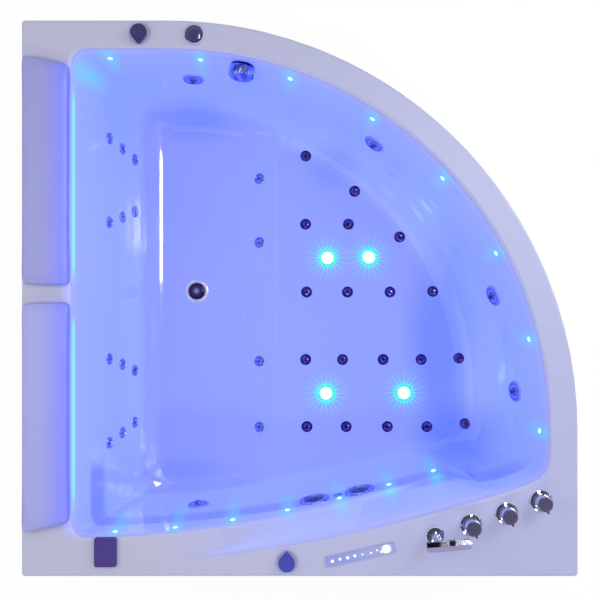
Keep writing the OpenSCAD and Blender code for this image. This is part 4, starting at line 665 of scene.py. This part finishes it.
# Rubber: the pads between the bearers and the shell's floor, cut from sheet, and the moulded feet on
# which the frame is levelled.
rubber = Finish("black_rubber", shown(34, 34, 37), 0.72)
rubber.roughen(0.62, spread=0.25, scale=120, detail=3.0)
rubber.grain(scale=400, depth=0.0005, detail=3.0)
rubber.on("bearer_pads", "levelling_feet")

# The pump and blower housings: moulded of glass-filled plastic, dark and slightly grained. They stand
# on the shelves of the frame.
housing = Finish("machine_housing", shown(50, 53, 60), 0.5)
housing.roughen(0.45, spread=0.2, scale=150, detail=3.0)
housing.grain(scale=600, depth=0.0004)
housing.on("water_pump", "air_blower")

# The pump motor: a finned body of cast aluminium under black paint, set against the pump's housing. It
# drives the pump that feeds the large and small jets.
motor_paint = Finish("motor_paint", shown(32, 34, 38), 0.4, metal=0.2, coat=0.2)
motor_paint.roughen(0.34, spread=0.2, scale=90, detail=3.0)
motor_paint.grain(scale=300, depth=0.0003)
motor_paint.on("pump_motor")

# Pipes, hoses and trap: white rigid plastic, glued at the sockets. Under the shell they join the
# suctions to the pump, the machines to the jets, the mixer valve to the spout and the overflow to the
# trap.
pipe_plastic = Finish("white_pipe_plastic", shown(226, 228, 228), 0.36)
pipe_plastic.tint(pipe_plastic.noise(12), shown(216, 219, 220), shown(232, 233, 232))
pipe_plastic.roughen(0.3, spread=0.16, scale=90, detail=3.0)
pipe_plastic.on("spout_pipe", "suction_pipe", "pressure_pipe", "ledge_jet_pipe", "jet_hoses", "air_pipes",
                "drain_trap", "overflow_pipe")

# The control box: a splash-proof case of plain grey plastic with three cable glands. It is a body with
# a flat lid, fixed to a post of the frame.
case_plastic = Finish("case_plastic", shown(168, 172, 178), 0.45)
case_plastic.roughen(0.4, spread=0.18, scale=120, detail=3.0)
case_plastic.grain(scale=700, depth=0.0003)
case_plastic.on("control_box")

# The head pillows: soft foam in a smooth skin, lying on the rim behind the backrest. They are blown up
# slightly from the solid's shape, so that they crown and their sides draw in.
pillow_skin = Finish("pillow_skin", shown(160, 162, 224), 0.42, coat=0.15, coat_roughness=0.3)
# Painted light: the side towards the basin is painted blue and glows faintly, though it is no lamp, and the
# upper pillow is painted a little darker than the lower as shade.
basin_lit_side = pillow_skin.x.between(-0.7, -0.61)
upper_side = pillow_skin.y.between(-0.03, 0.06)
outer_side_shade = pillow_skin.mix(upper_side, shown(168, 170, 238), shown(158, 160, 222))
pillow_skin.tint(basin_lit_side, outer_side_shade, shown(126, 134, 246))
pillow_skin.shine(pillow_skin.mix(basin_lit_side, (0, 0, 0), shown(110, 124, 250)), 0.2)
pillow_skin.roughen(0.38, spread=0.12, scale=220, detail=3.0)
pillow_skin.grain(scale=700, depth=0.0004, detail=3.0)

# A pillow's outline: its outer side, its width and how far it is widened, its length at the outer side
# and how much shorter it is on the basin's side, and the gap from the tub's middle line, which narrows
# a little towards the basin.
pillow_left = -0.744
pillow_wide = 0.126
pillow_stretch = 0.004
pillow_long = 0.618
pillow_skew = 0.022
pillow_gap = 0.034
gap_slant = 0.005
# Its form: how square its corners are, what is left of its height before it is filled, and by how much
# its foot and its crown draw in, over which share of its height.
squareness = 5
corner_power = 0.3
flattened = 0.92
foot_share, foot_tuck = 0.12, 0.05
crown_share, crown_tuck = 0.2, 0.1
# Its filling: the size of the skin's mesh, the steps of the cloth, and how far a point moves at most.
skin_mesh = 0.006
fill_steps = 20
most_swell = 0.003
rim_clearance = 0.0003


def pillow(name, solid, side, nearer):
    """One pillow, squared and tucked from its solid and then filled. Its side is 1 above the tub's
    middle line and -1 below it, and its gap is smaller by nearer."""
    piece = bpy.data.objects.new(name, nodes[solid].data.copy())
    bpy.context.collection.objects.link(piece)
    bpy.ops.object.select_all(action="DESELECT")
    piece.select_set(True)
    bpy.context.view_layer.objects.active = piece
    low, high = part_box(solid)
    for v in piece.data.vertices:
        up = (v.co.z - low[2]) / (high[2] - low[2])
        share = (v.co.x - pillow_left) / pillow_wide
        inner = side * (pillow_gap - nearer + gap_slant * (1 - share))
        long = pillow_long - pillow_skew * share
        u = share * 2 - 1
        w = (v.co.y - inner) * side / long * 2 - 1
        reach = (abs(u) ** squareness + abs(w) ** squareness) ** (1 / squareness)
        if reach > 0.05:
            foot = foot_tuck * max(0.0, foot_share - up) / foot_share
            crown = crown_tuck * max(0.0, (up - (1 - crown_share)) / crown_share) ** 2
            full = 1 - foot - crown
            u = math.copysign(abs(u / reach) ** corner_power, u) * full
            w = math.copysign(abs(w / reach) ** corner_power, w) * full
        share = (u + 1) / 2
        inner = side * (pillow_gap - nearer + gap_slant * (1 - share))
        v.co.x = pillow_left + (pillow_wide + pillow_stretch) * share
        v.co.y = inner + side * (w + 1) / 2 * (pillow_long - pillow_skew * share)
        v.co.z = low[2] + (v.co.z - low[2]) * flattened
    bpy.ops.object.mode_set(mode="EDIT")
    bpy.ops.mesh.select_all(action="SELECT")
    bpy.ops.mesh.remove_doubles(threshold=0.0002)
    bpy.ops.mesh.normals_make_consistent(inside=False)
    bpy.ops.object.mode_set(mode="OBJECT")
    remesh = piece.modifiers.new("skin", "REMESH")
    remesh.mode = "VOXEL"
    remesh.voxel_size = skin_mesh
    bpy.ops.object.modifier_apply(modifier="skin")
    rest = [v.co.copy() for v in piece.data.vertices]
    cloth = piece.modifiers.new("fill", "CLOTH")
    cloth.settings.use_pressure = True
    cloth.settings.uniform_pressure_force = 2
    cloth.settings.effector_weights.gravity = 0
    cloth.point_cache.frame_start = 1
    cloth.point_cache.frame_end = fill_steps
    for step in range(1, fill_steps + 1):
        bpy.context.scene.frame_set(step)
    filled = piece.evaluated_get(bpy.context.evaluated_depsgraph_get())
    blown = [v.co.copy() for v in filled.data.vertices]
    piece.modifiers.remove(cloth)
    bpy.context.scene.frame_set(1)
    for v, start, end in zip(piece.data.vertices, rest, blown):
        move = end - start
        if move.length > most_swell:
            move *= most_swell / move.length
        v.co = start + move
        v.co.z = max(v.co.z, low[2] + rim_clearance)
    smooth = piece.modifiers.new("soft", "SUBSURF")
    smooth.levels = smooth.render_levels = 1
    bpy.ops.object.modifier_apply(modifier="soft")
    bpy.ops.object.shade_smooth()
    piece.data.materials.clear()
    piece.data.materials.append(pillow_skin.material)
    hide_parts(solid)
    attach(piece, "tub")


pillow("upper_head_pillow", "upper_pillow", side=1, nearer=0.003)
pillow("lower_head_pillow", "lower_pillow", side=-1, nearer=0.027)
